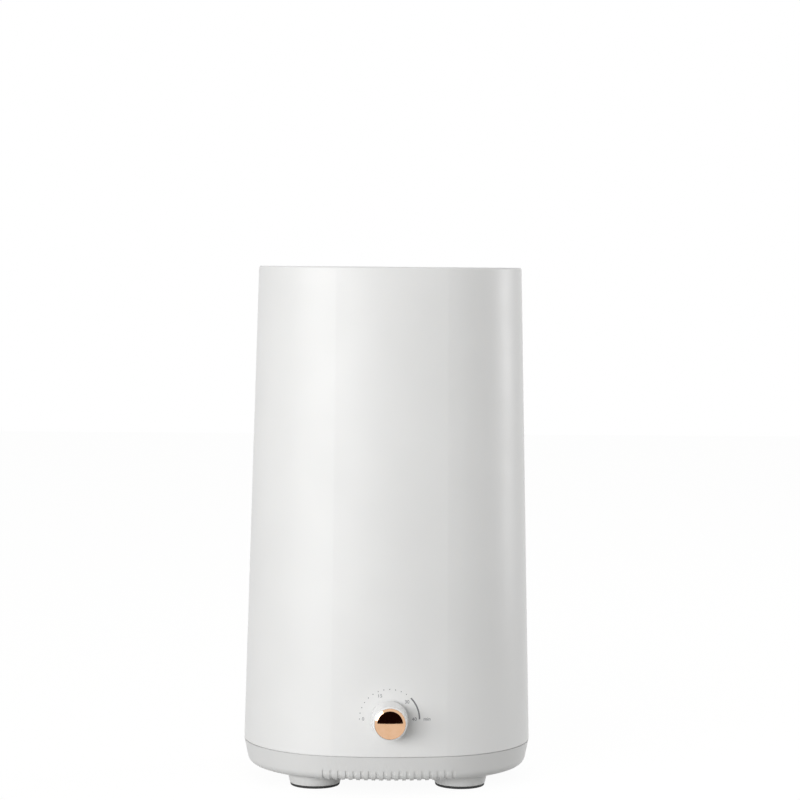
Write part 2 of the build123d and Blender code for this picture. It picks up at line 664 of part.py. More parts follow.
with BuildPart() as chamber_liner:
    with BuildSketch(Plane.XY.offset(CHAMBER_FLOOR_Z)):
        add(oval(LINER_INSET))
    extrude(amount=LINER_TOP_Z - CHAMBER_FLOOR_Z)
    with BuildSketch(Plane.XY.offset(CHAMBER_BOTTOM_Z)):
        add(oval(CHAMBER_INSET))
    extrude(amount=LINER_TOP_Z - CHAMBER_BOTTOM_Z, mode=Mode.SUBTRACT)
    with BuildSketch(Plane.XY.offset(CHAMBER_BOTTOM_Z)):
        with Locations((0, AIR_Y)):
            Rectangle(COLLAR_WIDTH + 2 * COLLAR_WALL, COLLAR_DEPTH + 2 * COLLAR_WALL)
    extrude(amount=COLLAR_HEIGHT)
    with BuildSketch(Plane.XY.offset(CHAMBER_BOTTOM_Z)):
        with Locations(*FAN_SCREW_POINTS):
            Circle(BOSS_RADIUS)
    extrude(amount=BOSS_HEIGHT)
    with BuildSketch(Plane.XY.offset(CHAMBER_FLOOR_Z)):
        with Locations((0, AIR_Y)):
            Rectangle(COLLAR_WIDTH, COLLAR_DEPTH)
        with Locations((0, LAMP_Y)):
            Circle(LAMP_SPIGOT_RADIUS + LAMP_HOLE_CLEARANCE)
    extrude(amount=LINER_WALL + COLLAR_HEIGHT, mode=Mode.SUBTRACT)
    with BuildSketch(Plane.XY.offset(CHAMBER_FLOOR_Z)):
        with Locations(*FAN_SCREW_POINTS):
            Circle(FAN_SCREW_RADIUS + SCREW_CLEARANCE)
    extrude(amount=FAN_SCREW_BITE + BLIND_END, mode=Mode.SUBTRACT)
    with BuildSketch(Plane.XY.offset(PAN_FLOOR_Z)):
        with Locations(*FOOT_POINTS.values()):
            Circle(PILLAR_RADIUS)
    extrude(amount=CHAMBER_FLOOR_Z - PAN_FLOOR_Z)
    with BuildSketch(Plane.XY.offset(PAN_FLOOR_Z)):
        with Locations(*FOOT_POINTS.values()):
            Circle(FOOT_SCREW_RADIUS + SCREW_CLEARANCE)
    extrude(amount=FOOT_SCREW_BITE + BLIND_END, mode=Mode.SUBTRACT)
nodes["chamber_liner"] = chamber_liner

with BuildPart() as rim_seal:
    with BuildSketch(Plane.XY.offset(LINER_TOP_Z)):
        add(oval(LINER_INSET))
        add(oval(CHAMBER_INSET), mode=Mode.SUBTRACT)
    extrude(amount=SEAL_THICKNESS)
nodes["rim_seal"] = rim_seal

# --- Dial: knob, cap, shaft and spring barrel ---------------------------------------------

with BuildPart() as timer_shaft:
    with BuildSketch(facing_front(SHAFT_END)):
        with Locations((0, DIAL_Z)):
            Circle(SHAFT_RADIUS)
    extrude(amount=SHAFT_FRONT - SHAFT_END)
    with BuildSketch(facing_front(KNOB_BACK)):
        with Locations((0, DIAL_Z + SHAFT_FLAT)):
            Rectangle(
                2 * SHAFT_RADIUS, SHAFT_RADIUS, align=(Align.CENTER, Align.MIN)
            )
    extrude(amount=SHAFT_FRONT - KNOB_BACK, mode=Mode.SUBTRACT)
nodes["timer_shaft"] = timer_shaft

with BuildPart() as timer_knob:
    with BuildSketch(DIAL_PLANE):
        with BuildLine():
            edge = Polyline(
                (KNOB_FRONT, KNOB_FRONT_RADIUS - KNOB_EDGE_ROUND),
                (KNOB_FRONT, CAP_RADIUS + CAP_CLEARANCE),
                (RECESS_FLOOR, CAP_RADIUS + CAP_CLEARANCE),
                (RECESS_FLOOR, 0),
                (KNOB_BACK + KNOB_HUB_SETBACK, 0),
                (KNOB_BACK + KNOB_HUB_SETBACK, KNOB_HUB_RADIUS),
                (WEB_BACK, KNOB_HUB_RADIUS),
                (WEB_BACK, KNOB_FRONT_RADIUS - KNOB_WALL),
                (KNOB_BACK, KNOB_BACK_RADIUS - KNOB_WALL),
                (KNOB_BACK, KNOB_BACK_RADIUS),
                (KNOB_FRONT - KNOB_EDGE_ROUND, KNOB_FRONT_RADIUS),
            )
            RadiusArc(edge @ 1, edge @ 0, -KNOB_EDGE_ROUND)
        make_face()
    revolve(axis=DIAL_AXIS)
    with BuildSketch(facing_front(KNOB_BACK)):
        with Locations((0, DIAL_Z)):
            Circle(SHAFT_RADIUS + SHAFT_RUNNING)
        with Locations((0, DIAL_Z + SHAFT_FLAT + SHAFT_RUNNING)):
            Rectangle(
                3 * SHAFT_RADIUS,
                SHAFT_RADIUS,
                align=(Align.CENTER, Align.MIN),
                mode=Mode.SUBTRACT,
            )
    extrude(amount=SHAFT_FRONT + SHAFT_RUNNING - KNOB_BACK, mode=Mode.SUBTRACT)
    with Locations((-KNOB_BACK_RADIUS, -KNOB_BACK, DIAL_Z)):
        Box(2 * KNOB_MARK_DEPTH, 2 * KNOB_MARK_LENGTH, KNOB_MARK_WIDTH, mode=Mode.SUBTRACT)
nodes["timer_knob"] = timer_knob

with BuildPart() as knob_cap:
    dome_width = CAP_RADIUS - CAP_BEVEL_WIDTH
    dome_radius = (dome_width**2 + CAP_DOME**2) / (2 * CAP_DOME)
    dome_front = KNOB_FRONT + CAP_PROUD + CAP_DOME
    with BuildSketch(DIAL_PLANE):
        with BuildLine():
            Polyline(
                (dome_front, 0),
                (RECESS_FLOOR, 0),
                (RECESS_FLOOR, CAP_RADIUS),
                (KNOB_FRONT + CAP_PROUD - CAP_BEVEL_DEPTH, CAP_RADIUS),
                (KNOB_FRONT + CAP_PROUD, dome_width),
                (dome_front, dome_width),
                close=True,
            )
        make_face()
    revolve(axis=DIAL_AXIS)
    with Locations((0, dome_radius - dome_front, DIAL_Z)):
        Sphere(dome_radius, mode=Mode.INTERSECT)
nodes["knob_cap"] = knob_cap

with BuildPart() as spring_barrel:
    with BuildSketch(facing_front(BARREL_FRONT - BARREL_LENGTH)):
        with Locations((0, DIAL_Z)):
            Circle(BARREL_RADIUS)
            Circle(SHAFT_RADIUS + SHAFT_RUNNING, mode=Mode.SUBTRACT)
    extrude(amount=BARREL_LENGTH)
nodes["spring_barrel"] = spring_barrel

# --- Timer body ---------------------------------------------------------------------------

with BuildPart() as timer_plate:
    with BuildSketch(facing_front(PLATE_BACK)):
        with Locations((0, DIAL_Z)):
            RectangleRounded(TIMER_PLATE_WIDTH, TIMER_PLATE_HEIGHT, TIMER_CASE_ROUND)
            Circle(SHAFT_RADIUS + SHAFT_RUNNING, mode=Mode.SUBTRACT)
        with Locations((-TIMER_SCREW_X, DIAL_Z), (TIMER_SCREW_X, DIAL_Z)):
            Circle(SMALL_SCREW_RADIUS + PASS_CLEARANCE, mode=Mode.SUBTRACT)
    extrude(amount=TIMER_PLATE_THICKNESS)
nodes["timer_plate"] = timer_plate

with BuildPart() as timer_case:
    with BuildSketch(facing_front(CASE_BACK)):
        with Locations((0, DIAL_Z)):
            RectangleRounded(TIMER_CASE_WIDTH, TIMER_CASE_HEIGHT, TIMER_CASE_ROUND)
    extrude(amount=TIMER_CASE_DEPTH)
    with BuildSketch(facing_front(CASE_FLOOR)):
        with Locations((0, DIAL_Z)):
            RectangleRounded(
                TIMER_CASE_WIDTH - 2 * TIMER_CASE_WALL,
                TIMER_CASE_HEIGHT - 2 * TIMER_CASE_WALL,
                TIMER_CASE_ROUND - TIMER_CASE_WALL,
            )
    extrude(amount=TIMER_CASE_DEPTH, mode=Mode.SUBTRACT)
    with BuildSketch(facing_front(CASE_FLOOR)):
        with Locations((0, DIAL_Z)):
            Circle(REAR_BEARING_RADIUS)
            Circle(SHAFT_RADIUS + SHAFT_RUNNING, mode=Mode.SUBTRACT)
    extrude(amount=REAR_BEARING_LENGTH)
nodes["timer_case"] = timer_case

with BuildPart() as timer_terminals:
    for tab_x in (-TAB_SPACING / 2, TAB_SPACING / 2):
        with Locations((tab_x, -CASE_BACK, DIAL_Z)):
            Box(
                TAB_WIDTH,
                TAB_LENGTH,
                TAB_THICKNESS,
                align=(Align.CENTER, Align.MIN, Align.CENTER),
            )
nodes["timer_terminals"] = timer_terminals

with BuildPart() as timer_screws:
    with BuildSketch(facing_front(PLATE_BACK)):
        with Locations((-TIMER_SCREW_X, DIAL_Z), (TIMER_SCREW_X, DIAL_Z)):
            Circle(SMALL_SCREW_RADIUS)
    extrude(amount=TIMER_PLATE_THICKNESS + SMALL_SCREW_BITE)
    with BuildSketch(facing_front(PLATE_BACK - SMALL_SCREW_HEAD_HEIGHT)):
        with Locations((-TIMER_SCREW_X, DIAL_Z), (TIMER_SCREW_X, DIAL_Z)):
            Circle(SMALL_SCREW_HEAD_RADIUS)
    extrude(amount=SMALL_SCREW_HEAD_HEIGHT)
nodes["timer_screws"] = timer_screws

# --- Cord gland ---------------------------------------------------------------------------

GLAND_SEAT = front_face_y(GLAND_Z) + GLAND_SEAT_GAP
GLAND_INNER_SEAT = front_face_y(GLAND_Z) - SHELL_WALL - GLAND_SEAT_GAP
GLAND_OUT = GLAND_SEAT + GLAND_FLANGE_THICKNESS
GLAND_IN = GLAND_INNER_SEAT - GLAND_CLIP_THICKNESS

with BuildPart() as cord_gland:
    with BuildSketch(GLAND_PLANE):
        with BuildLine():
            Polyline(
                (GLAND_IN, GLAND_BORE_RADIUS),
                (GLAND_IN, GLAND_CLIP_RADIUS),
                (GLAND_INNER_SEAT, GLAND_CLIP_RADIUS),
                (GLAND_INNER_SEAT, GLAND_NECK_RADIUS),
                (GLAND_SEAT, GLAND_NECK_RADIUS),
                (GLAND_SEAT, GLAND_FLANGE_RADIUS),
                (GLAND_OUT - GLAND_FLANGE_THICKNESS / 2, GLAND_FLANGE_RADIUS),
                (GLAND_OUT, GLAND_FLANGE_RADIUS - GLAND_FLANGE_THICKNESS / 2),
                (GLAND_OUT, GLAND_BORE_RADIUS),
                close=True,
            )
        make_face()
    revolve(axis=GLAND_AXIS)
nodes["cord_gland"] = cord_gland

# --- Fan ----------------------------------------------------------------------------------

FAN_HUB_BOTTOM_Z = FAN_BOTTOM_Z + FAN_PLATE + FAN_HUB_GAP
FAN_HUB_TOP_Z = FAN_HUB_BOTTOM_Z + FAN_HUB_HEIGHT
BEARING_TOP_Z = FAN_HUB_TOP_Z - FAN_HUB_WALL - FAN_HUB_GAP

with BuildPart() as fan_frame:
    with BuildSketch(Plane.XY.offset(FAN_BOTTOM_Z)):
        with Locations((0, AIR_Y)):
            RectangleRounded(FAN_SIZE, FAN_SIZE, FAN_CORNER_ROUND)
            Circle(FAN_BORE_RADIUS, mode=Mode.SUBTRACT)
    extrude(amount=FAN_DEPTH)
    with BuildSketch(Plane.XY.offset(FAN_BOTTOM_Z)):
        with Locations((0, AIR_Y)):
            Circle(FAN_HUB_RADIUS)
            for strut in range(FAN_STRUTS // 2):
                Rectangle(
                    2 * FAN_BORE_RADIUS + FAN_STRUT_WIDTH / 2,
                    FAN_STRUT_WIDTH,
                    rotation=strut * 360 / FAN_STRUTS,
                )
    extrude(amount=FAN_PLATE)
    with Locations((0, AIR_Y, FAN_BOTTOM_Z)):
        Cylinder(
            BEARING_RADIUS,
            BEARING_TOP_Z - FAN_BOTTOM_Z,
            align=(Align.CENTER, Align.CENTER, Align.MIN),
        )
    with Locations((0, AIR_Y, BEARING_TOP_Z)):
        Hole(FAN_SHAFT_RADIUS + SHAFT_RUNNING, depth=BEARING_TOP_Z - FAN_BOTTOM_Z - FAN_PLATE / 2)
    with Locations(*[(x, y, FAN_BOTTOM_Z + FAN_DEPTH) for x, y in FAN_SCREW_POINTS]):
        Hole(FAN_SCREW_RADIUS + PASS_CLEARANCE, depth=FAN_DEPTH)
nodes["fan_frame"] = fan_frame

with BuildPart() as fan_stator:
    with BuildSketch(Plane.XY.offset(FAN_BOTTOM_Z + FAN_PLATE)):
        with Locations((0, AIR_Y)):
            Circle(STATOR_RADIUS)
            Circle(BEARING_RADIUS + STATOR_CLEARANCE, mode=Mode.SUBTRACT)
            with PolarLocations(STATOR_RADIUS, STATOR_SLOTS, start_angle=45):
                Circle(STATOR_SLOT_WIDTH / 2, mode=Mode.SUBTRACT)
    extrude(amount=STATOR_HEIGHT)
nodes["fan_stator"] = fan_stator

with BuildPart() as fan_blade:
    with BuildSketch(Plane.YZ.offset(FAN_HUB_RADIUS - FAN_HUB_WALL / 2)):
        with Locations((0, FAN_HUB_BOTTOM_Z + FAN_HUB_HEIGHT / 2)):
            Rectangle(FAN_BLADE_CHORD, FAN_BLADE_THICKNESS, rotation=FAN_BLADE_ANGLE)
    extrude(amount=FAN_BORE_RADIUS - FAN_HUB_RADIUS)
    with BuildSketch(Plane.XY.offset(FAN_HUB_BOTTOM_Z + (FAN_HUB_HEIGHT - FAN_BLADE_DEPTH) / 2)):
        Circle(FAN_BORE_RADIUS - FAN_TIP_GAP)
    extrude(amount=FAN_BLADE_DEPTH, mode=Mode.INTERSECT)

with BuildPart() as fan_rotor:
    with Locations((0, AIR_Y, FAN_HUB_BOTTOM_Z)):
        Cylinder(
            FAN_HUB_RADIUS, FAN_HUB_HEIGHT, align=(Align.CENTER, Align.CENTER, Align.MIN)
        )
    with Locations((0, AIR_Y)):
        with PolarLocations(0, FAN_BLADES):
            add(fan_blade.part)
    with Locations((0, AIR_Y, FAN_HUB_BOTTOM_Z)):
        Cylinder(
            FAN_HUB_RADIUS - FAN_HUB_WALL,
            FAN_HUB_HEIGHT - FAN_HUB_WALL,
            align=(Align.CENTER, Align.CENTER, Align.MIN),
            mode=Mode.SUBTRACT,
        )
        Cylinder(
            FAN_SHAFT_RADIUS, FAN_HUB_HEIGHT, align=(Align.CENTER, Align.CENTER, Align.MIN)
        )
nodes["fan_rotor"] = fan_rotor

with BuildPart() as fan_screws:
    with Locations(*[(x, y, FAN_BOTTOM_Z) for x, y in FAN_SCREW_POINTS]):
        Cylinder(
            FAN_SCREW_HEAD_RADIUS,
            FAN_SCREW_HEAD_HEIGHT,
            align=(Align.CENTER, Align.CENTER, Align.MAX),
        )
        Cylinder(
            FAN_SCREW_RADIUS,
            CHAMBER_FLOOR_Z - FAN_BOTTOM_Z + FAN_SCREW_BITE,
            align=(Align.CENTER, Align.CENTER, Align.MIN),
        )
nodes["fan_screws"] = fan_screws

# --- Heater -------------------------------------------------------------------------------

CORE_BOTTOM_Z = HEATER_BOTTOM_Z + HEATER_LEDGE_HEIGHT
CORE_SIZE = HEATER_OPENING - 2 * HEATER_CLEARANCE

with BuildPart() as heater_frame:
    with BuildSketch(Plane.XY.offset(HEATER_BOTTOM_Z)):
        with Locations((0, AIR_Y)):
            RectangleRounded(FAN_SIZE, FAN_SIZE, FAN_CORNER_ROUND)
            inner = HEATER_OPENING - 2 * HEATER_LEDGE
            Rectangle(inner, inner, mode=Mode.SUBTRACT)
    extrude(amount=HEATER_HEIGHT)
    with BuildSketch(Plane.XY.offset(CORE_BOTTOM_Z)):
        with Locations((0, AIR_Y)):
            Rectangle(HEATER_OPENING, FAN_SCREW_SPACING - 2 * BOSS_RADIUS)
            Rectangle(FAN_SCREW_SPACING - 2 * BOSS_RADIUS, HEATER_OPENING)
    extrude(amount=HEATER_HEIGHT - HEATER_LEDGE_HEIGHT, mode=Mode.SUBTRACT)
    with Locations(*[(x, y, CHAMBER_FLOOR_Z) for x, y in FAN_SCREW_POINTS]):
        Hole(FAN_SCREW_RADIUS + PASS_CLEARANCE, depth=HEATER_HEIGHT)
nodes["heater_frame"] = heater_frame

with BuildPart() as heater_core:
    bar_span = FAN_SCREW_SPACING - 2 * BOSS_RADIUS - 2 * HEATER_CLEARANCE
    bar_pitch = (bar_span - HEATER_BAR_WIDTH) / (HEATER_BARS - 1)
    fin_pitch = bar_span / HEATER_FINS
    with BuildSketch(Plane.XY.offset(CORE_BOTTOM_Z)):
        with Locations(
            *[(0, AIR_Y + (i - (HEATER_BARS - 1) / 2) * bar_pitch) for i in range(HEATER_BARS)]
        ):
            Rectangle(CORE_SIZE, HEATER_BAR_WIDTH)
        with Locations(
            *[((i - (HEATER_FINS - 1) / 2) * fin_pitch, AIR_Y) for i in range(HEATER_FINS)]
        ):
            Rectangle(HEATER_FIN_THICKNESS, bar_span)
    extrude(amount=HEATER_CORE_HEIGHT)
nodes["heater_core"] = heater_core

with BuildPart() as thermal_cutout:
    cutout_plane = Plane(
        origin=(-FAN_SIZE / 2, AIR_Y + CUTOUT_Y, HEATER_BOTTOM_Z + HEATER_HEIGHT / 2),
        x_dir=(0, 1, 0),
        z_dir=(-1, 0, 0),
    )
    with BuildSketch(cutout_plane):
        Rectangle(CUTOUT_EAR_WIDTH, CUTOUT_EAR_HEIGHT)
    extrude(amount=CUTOUT_EAR_THICKNESS)
    with BuildSketch(cutout_plane):
        Circle(CUTOUT_RADIUS)
    extrude(amount=CUTOUT_HEIGHT)
nodes["thermal_cutout"] = thermal_cutout

# --- Hot air cap over the collar ----------------------------------------------------------

with BuildPart() as air_cap:
    skirt_width = COLLAR_WIDTH - 2 * CAP_SKIRT_CLEARANCE
    skirt_depth = COLLAR_DEPTH - 2 * CAP_SKIRT_CLEARANCE
    with BuildSketch(Plane.XY.offset(COLLAR_TOP_Z - CAP_SKIRT_DEPTH)):
        with Locations((0, AIR_Y)):
            Rectangle(skirt_width, skirt_depth)
            Rectangle(
                skirt_width - 2 * CAP_SKIRT_WALL,
                skirt_depth - 2 * CAP_SKIRT_WALL,
                mode=Mode.SUBTRACT,
            )
    extrude(amount=CAP_SKIRT_DEPTH + CAP_WINDOW_HEIGHT)
    with BuildSketch(Plane.XY.offset(COLLAR_TOP_Z)):
        with Locations((0, AIR_Y)):
            Rectangle(skirt_width - 2 * CAP_POST, 2 * skirt_depth)
            Rectangle(2 * skirt_width, skirt_depth - 2 * CAP_POST)
    extrude(amount=CAP_WINDOW_HEIGHT, mode=Mode.SUBTRACT)
    with BuildSketch(Plane.XY.offset(COLLAR_TOP_Z + CAP_WINDOW_HEIGHT)):
        with Locations((0, AIR_Y)):
            Rectangle(
                COLLAR_WIDTH + 2 * (COLLAR_WALL + CAP_ROOF_OVERHANG),
                COLLAR_DEPTH + 2 * (COLLAR_WALL + CAP_ROOF_OVERHANG),
            )
    extrude(amount=CAP_ROOF_THICKNESS)
    with BuildSketch(Plane.XY.offset(COLLAR_TOP_Z)):
        post_x = skirt_width / 2 - CAP_POST / 2
        post_y = skirt_depth / 2 - CAP_POST / 2
        with Locations(
            *[(sx * post_x, AIR_Y + sy * post_y) for sx in (-1, 1) for sy in (-1, 1)]
        ):
            Rectangle(CAP_POST + 2 * COLLAR_WALL, CAP_POST + 2 * COLLAR_WALL)
    extrude(amount=CAP_WINDOW_HEIGHT)
nodes["air_cap"] = air_cap

# --- Lamp, its base, guard and reflector --------------------------------------------------

with BuildPart() as lamp_base:
    with Locations((0, LAMP_Y, CHAMBER_BOTTOM_Z)):
        Box(
            LAMP_BASE_WIDTH,
            LAMP_BASE_DEPTH,
            LAMP_BASE_HEIGHT,
            align=(Align.CENTER, Align.CENTER, Align.MIN),
        )
        Cylinder(
            LAMP_SPIGOT_RADIUS,
            LINER_WALL + LAMP_SPIGOT_BELOW,
            align=(Align.CENTER, Align.CENTER, Align.MAX),
        )
nodes["lamp_base"] = lamp_base

with BuildPart() as lamp_nut:
    with BuildSketch(Plane.XY.offset(CHAMBER_FLOOR_Z - LAMP_NUT_HEIGHT)):
        with Locations((0, LAMP_Y)):
            RegularPolygon(LAMP_NUT_ACROSS / 2, 6, major_radius=False)
            Circle(LAMP_SPIGOT_RADIUS + LAMP_THREAD_CLEARANCE, mode=Mode.SUBTRACT)
    extrude(amount=LAMP_NUT_HEIGHT)
nodes["lamp_nut"] = lamp_nut

with BuildPart() as uv_lamp:
    bend_z = LAMP_BASE_TOP_Z + LAMP_LEG_LENGTH
    leg_x = LAMP_LEG_SPACING / 2
    with BuildLine() as lamp_path:
        Line((-leg_x, LAMP_Y, LAMP_BASE_TOP_Z), (-leg_x, LAMP_Y, bend_z))
        ThreePointArc(
            (-leg_x, LAMP_Y, bend_z), (0, LAMP_Y, bend_z + leg_x), (leg_x, LAMP_Y, bend_z)
        )
        Line((leg_x, LAMP_Y, bend_z), (leg_x, LAMP_Y, LAMP_BASE_TOP_Z))
    with BuildSketch(Plane(origin=(-leg_x, LAMP_Y, LAMP_BASE_TOP_Z))):
        Circle(LAMP_TUBE_RADIUS)
    sweep(path=lamp_path.line)
nodes["uv_lamp"] = uv_lamp

REFLECTOR_Y = LAMP_Y + LAMP_BASE_DEPTH / 2 - REFLECTOR_THICKNESS - REFLECTOR_MARGIN

with BuildPart() as lamp_reflector:
    with Locations((0, REFLECTOR_Y, LAMP_BASE_TOP_Z)):
        Box(
            LAMP_BASE_WIDTH - 2 * REFLECTOR_MARGIN,
            REFLECTOR_THICKNESS,
            REFLECTOR_HEIGHT,
            align=(Align.CENTER, Align.MIN, Align.MIN),
        )
nodes["lamp_reflector"] = lamp_reflector

GUARD_BACK_Y = (
    math.sqrt((SIDE_RADIUS - CHAMBER_INSET) ** 2 - GUARD_HALF_WIDTH**2)
    - SIDE_CENTRE
    - GUARD_LINER_GAP
)
GUARD_DEPTH = GUARD_BACK_Y - GUARD_FRONT_Y

with BuildPart() as lamp_guard:
    with Locations((0, GUARD_FRONT_Y, CHAMBER_BOTTOM_Z)):
        Box(
            2 * GUARD_HALF_WIDTH,
            GUARD_DEPTH,
            GUARD_HEIGHT,
            align=(Align.CENTER, Align.MIN, Align.MIN),
        )
    fillet(
        lamp_guard.faces().sort_by(Axis.Y)[0].edges().filter_by(Axis.Z), GUARD_WALL
    )
    with Locations((0, GUARD_FRONT_Y + GUARD_WALL, CHAMBER_BOTTOM_Z)):
        Box(
            2 * (GUARD_HALF_WIDTH - GUARD_WALL),
            GUARD_DEPTH,
            GUARD_HEIGHT - GUARD_WALL,
            align=(Align.CENTER, Align.MIN, Align.MIN),
            mode=Mode.SUBTRACT,
        )
    slot_heights = [
        CHAMBER_BOTTOM_Z + GUARD_SLOT_START + i * GUARD_SLOT_PITCH for i in range(GUARD_SLOTS)
    ]
    with BuildSketch(facing_rear(GUARD_FRONT_Y)):
        with Locations(*[(0, z) for z in slot_heights]):
            SlotOverall(GUARD_SLOT_LENGTH, GUARD_SLOT_WIDTH)
    extrude(amount=GUARD_WALL, mode=Mode.SUBTRACT)
nodes["lamp_guard"] = lamp_guard

# --- Drip tray ----------------------------------------------------------------------------

with BuildPart() as drip_tray:
    with BuildSketch(Plane.XY.offset(TRAY_BOTTOM_Z)):
        add(tray_outline(0))
    extrude(amount=TRAY_HEIGHT)
    with BuildSketch(Plane.XY.offset(TRAY_BOTTOM_Z + TRAY_WALL)):
        add(tray_outline(TRAY_WALL))
    extrude(amount=TRAY_HEIGHT - TRAY_WALL, mode=Mode.SUBTRACT)
nodes["drip_tray"] = drip_tray

# --- Knife rack: cage and slotted guide ---------------------------------------------------

CAGE_LOW_X = -SEAM_HALF_WIDTH
CAGE_HIGH_X = SPLIT_X - SPLIT_GAP / 2
CAGE_TOP_Z = INSERT_TOP_Z - GUIDE_THICKNESS
CAGE_VENT_X = CAGE_VENT_INSET - INSERT_HALF_WIDTH
CAGE_DRAIN_X = CAGE_DRAIN_INSET - INSERT_HALF_WIDTH
OUTER_SLOT_X = KNIFE_SLOT_OUTER_INSET - INSERT_HALF_WIDTH
INNER_SLOT_X = CAGE_HIGH_X - KNIFE_SLOT_INNER_INSET
KNIFE_SLOT_X = [OUTER_SLOT_X, (OUTER_SLOT_X + INNER_SLOT_X) / 2, INNER_SLOT_X]
BASKET_LOW_X = SPLIT_X + SPLIT_GAP / 2
BASKET_HIGH_X = SEAM_HALF_WIDTH

with BuildPart() as knife_cage:
    with BuildSketch(Plane.XY.offset(INSERT_BOTTOM_Z)):
        add(insert_outline(0, CAGE_LOW_X, CAGE_HIGH_X))
    extrude(amount=CAGE_TOP_Z - INSERT_BOTTOM_Z)
    with BuildSketch(Plane.XY.offset(INSERT_BOTTOM_Z + INSERT_FLOOR)):
        add(insert_outline(INSERT_WALL, CAGE_LOW_X, CAGE_HIGH_X))
    extrude(amount=CAGE_TOP_Z - INSERT_BOTTOM_Z - INSERT_FLOOR, mode=Mode.SUBTRACT)
    with BuildSketch(facing_front(-SEAM_HALF_DEPTH)):
        add(vent_slots(CAGE_VENTS, CAGE_VENT_X))
    extrude(amount=2 * SEAM_HALF_DEPTH, mode=Mode.SUBTRACT)
    with BuildSketch(Plane.YZ.offset(-SEAM_HALF_WIDTH)):
        add(vent_slots(SIDE_VENTS, SIDE_VENT_Y))
    extrude(amount=SEAM_HALF_WIDTH - SIDE_VENT_START, mode=Mode.SUBTRACT)
    with BuildSketch(Plane.XY.offset(INSERT_BOTTOM_Z)):
        add(drain_slots(CAGE_DRAINS, CAGE_DRAIN_X, 0, CAGE_DRAIN_LENGTH))
    extrude(amount=INSERT_FLOOR, mode=Mode.SUBTRACT)
    with BuildSketch(Plane.XY.offset(LEG_BOTTOM_Z)):
        with Locations(*[(-x, y) for x, y in (*INNER_LEG_POINTS, OUTER_LEG_POINT)]):
            Circle(LEG_RADIUS)
    extrude(amount=INSERT_BOTTOM_Z - LEG_BOTTOM_Z)
nodes["knife_cage"] = knife_cage

with BuildPart() as knife_guide:
    with BuildSketch(Plane.XY.offset(CAGE_TOP_Z)):
        add(insert_outline(0, CAGE_LOW_X, CAGE_HIGH_X))
    extrude(amount=GUIDE_THICKNESS)
    with BuildSketch(Plane.XY.offset(CAGE_TOP_Z - GUIDE_LIP_HEIGHT)):
        lip_shrink = INSERT_WALL + GUIDE_LIP_CLEARANCE
        add(insert_outline(lip_shrink, CAGE_LOW_X, CAGE_HIGH_X))
        add(
            insert_outline(lip_shrink + GUIDE_LIP_WALL, CAGE_LOW_X, CAGE_HIGH_X),
            mode=Mode.SUBTRACT,
        )
    extrude(amount=GUIDE_LIP_HEIGHT)
    with BuildSketch(Plane.XY.offset(CAGE_TOP_Z)):
        for slot_x, slot_y, slot_length in zip(KNIFE_SLOT_X, KNIFE_SLOT_Y, KNIFE_SLOT_LENGTHS):
            with Locations((slot_x, slot_y)):
                SlotOverall(slot_length, KNIFE_SLOT_WIDTH, rotation=90)
    extrude(amount=GUIDE_THICKNESS, mode=Mode.SUBTRACT)
    guide_top = knife_guide.faces().filter_by(Axis.Z).sort_by(Axis.Z)[-1]
    chamfer([e for wire in guide_top.inner_wires() for e in wire.edges()], KNIFE_SLOT_CHAMFER)
nodes["knife_guide"] = knife_guide

# --- Chopstick basket ---------------------------------------------------------------------

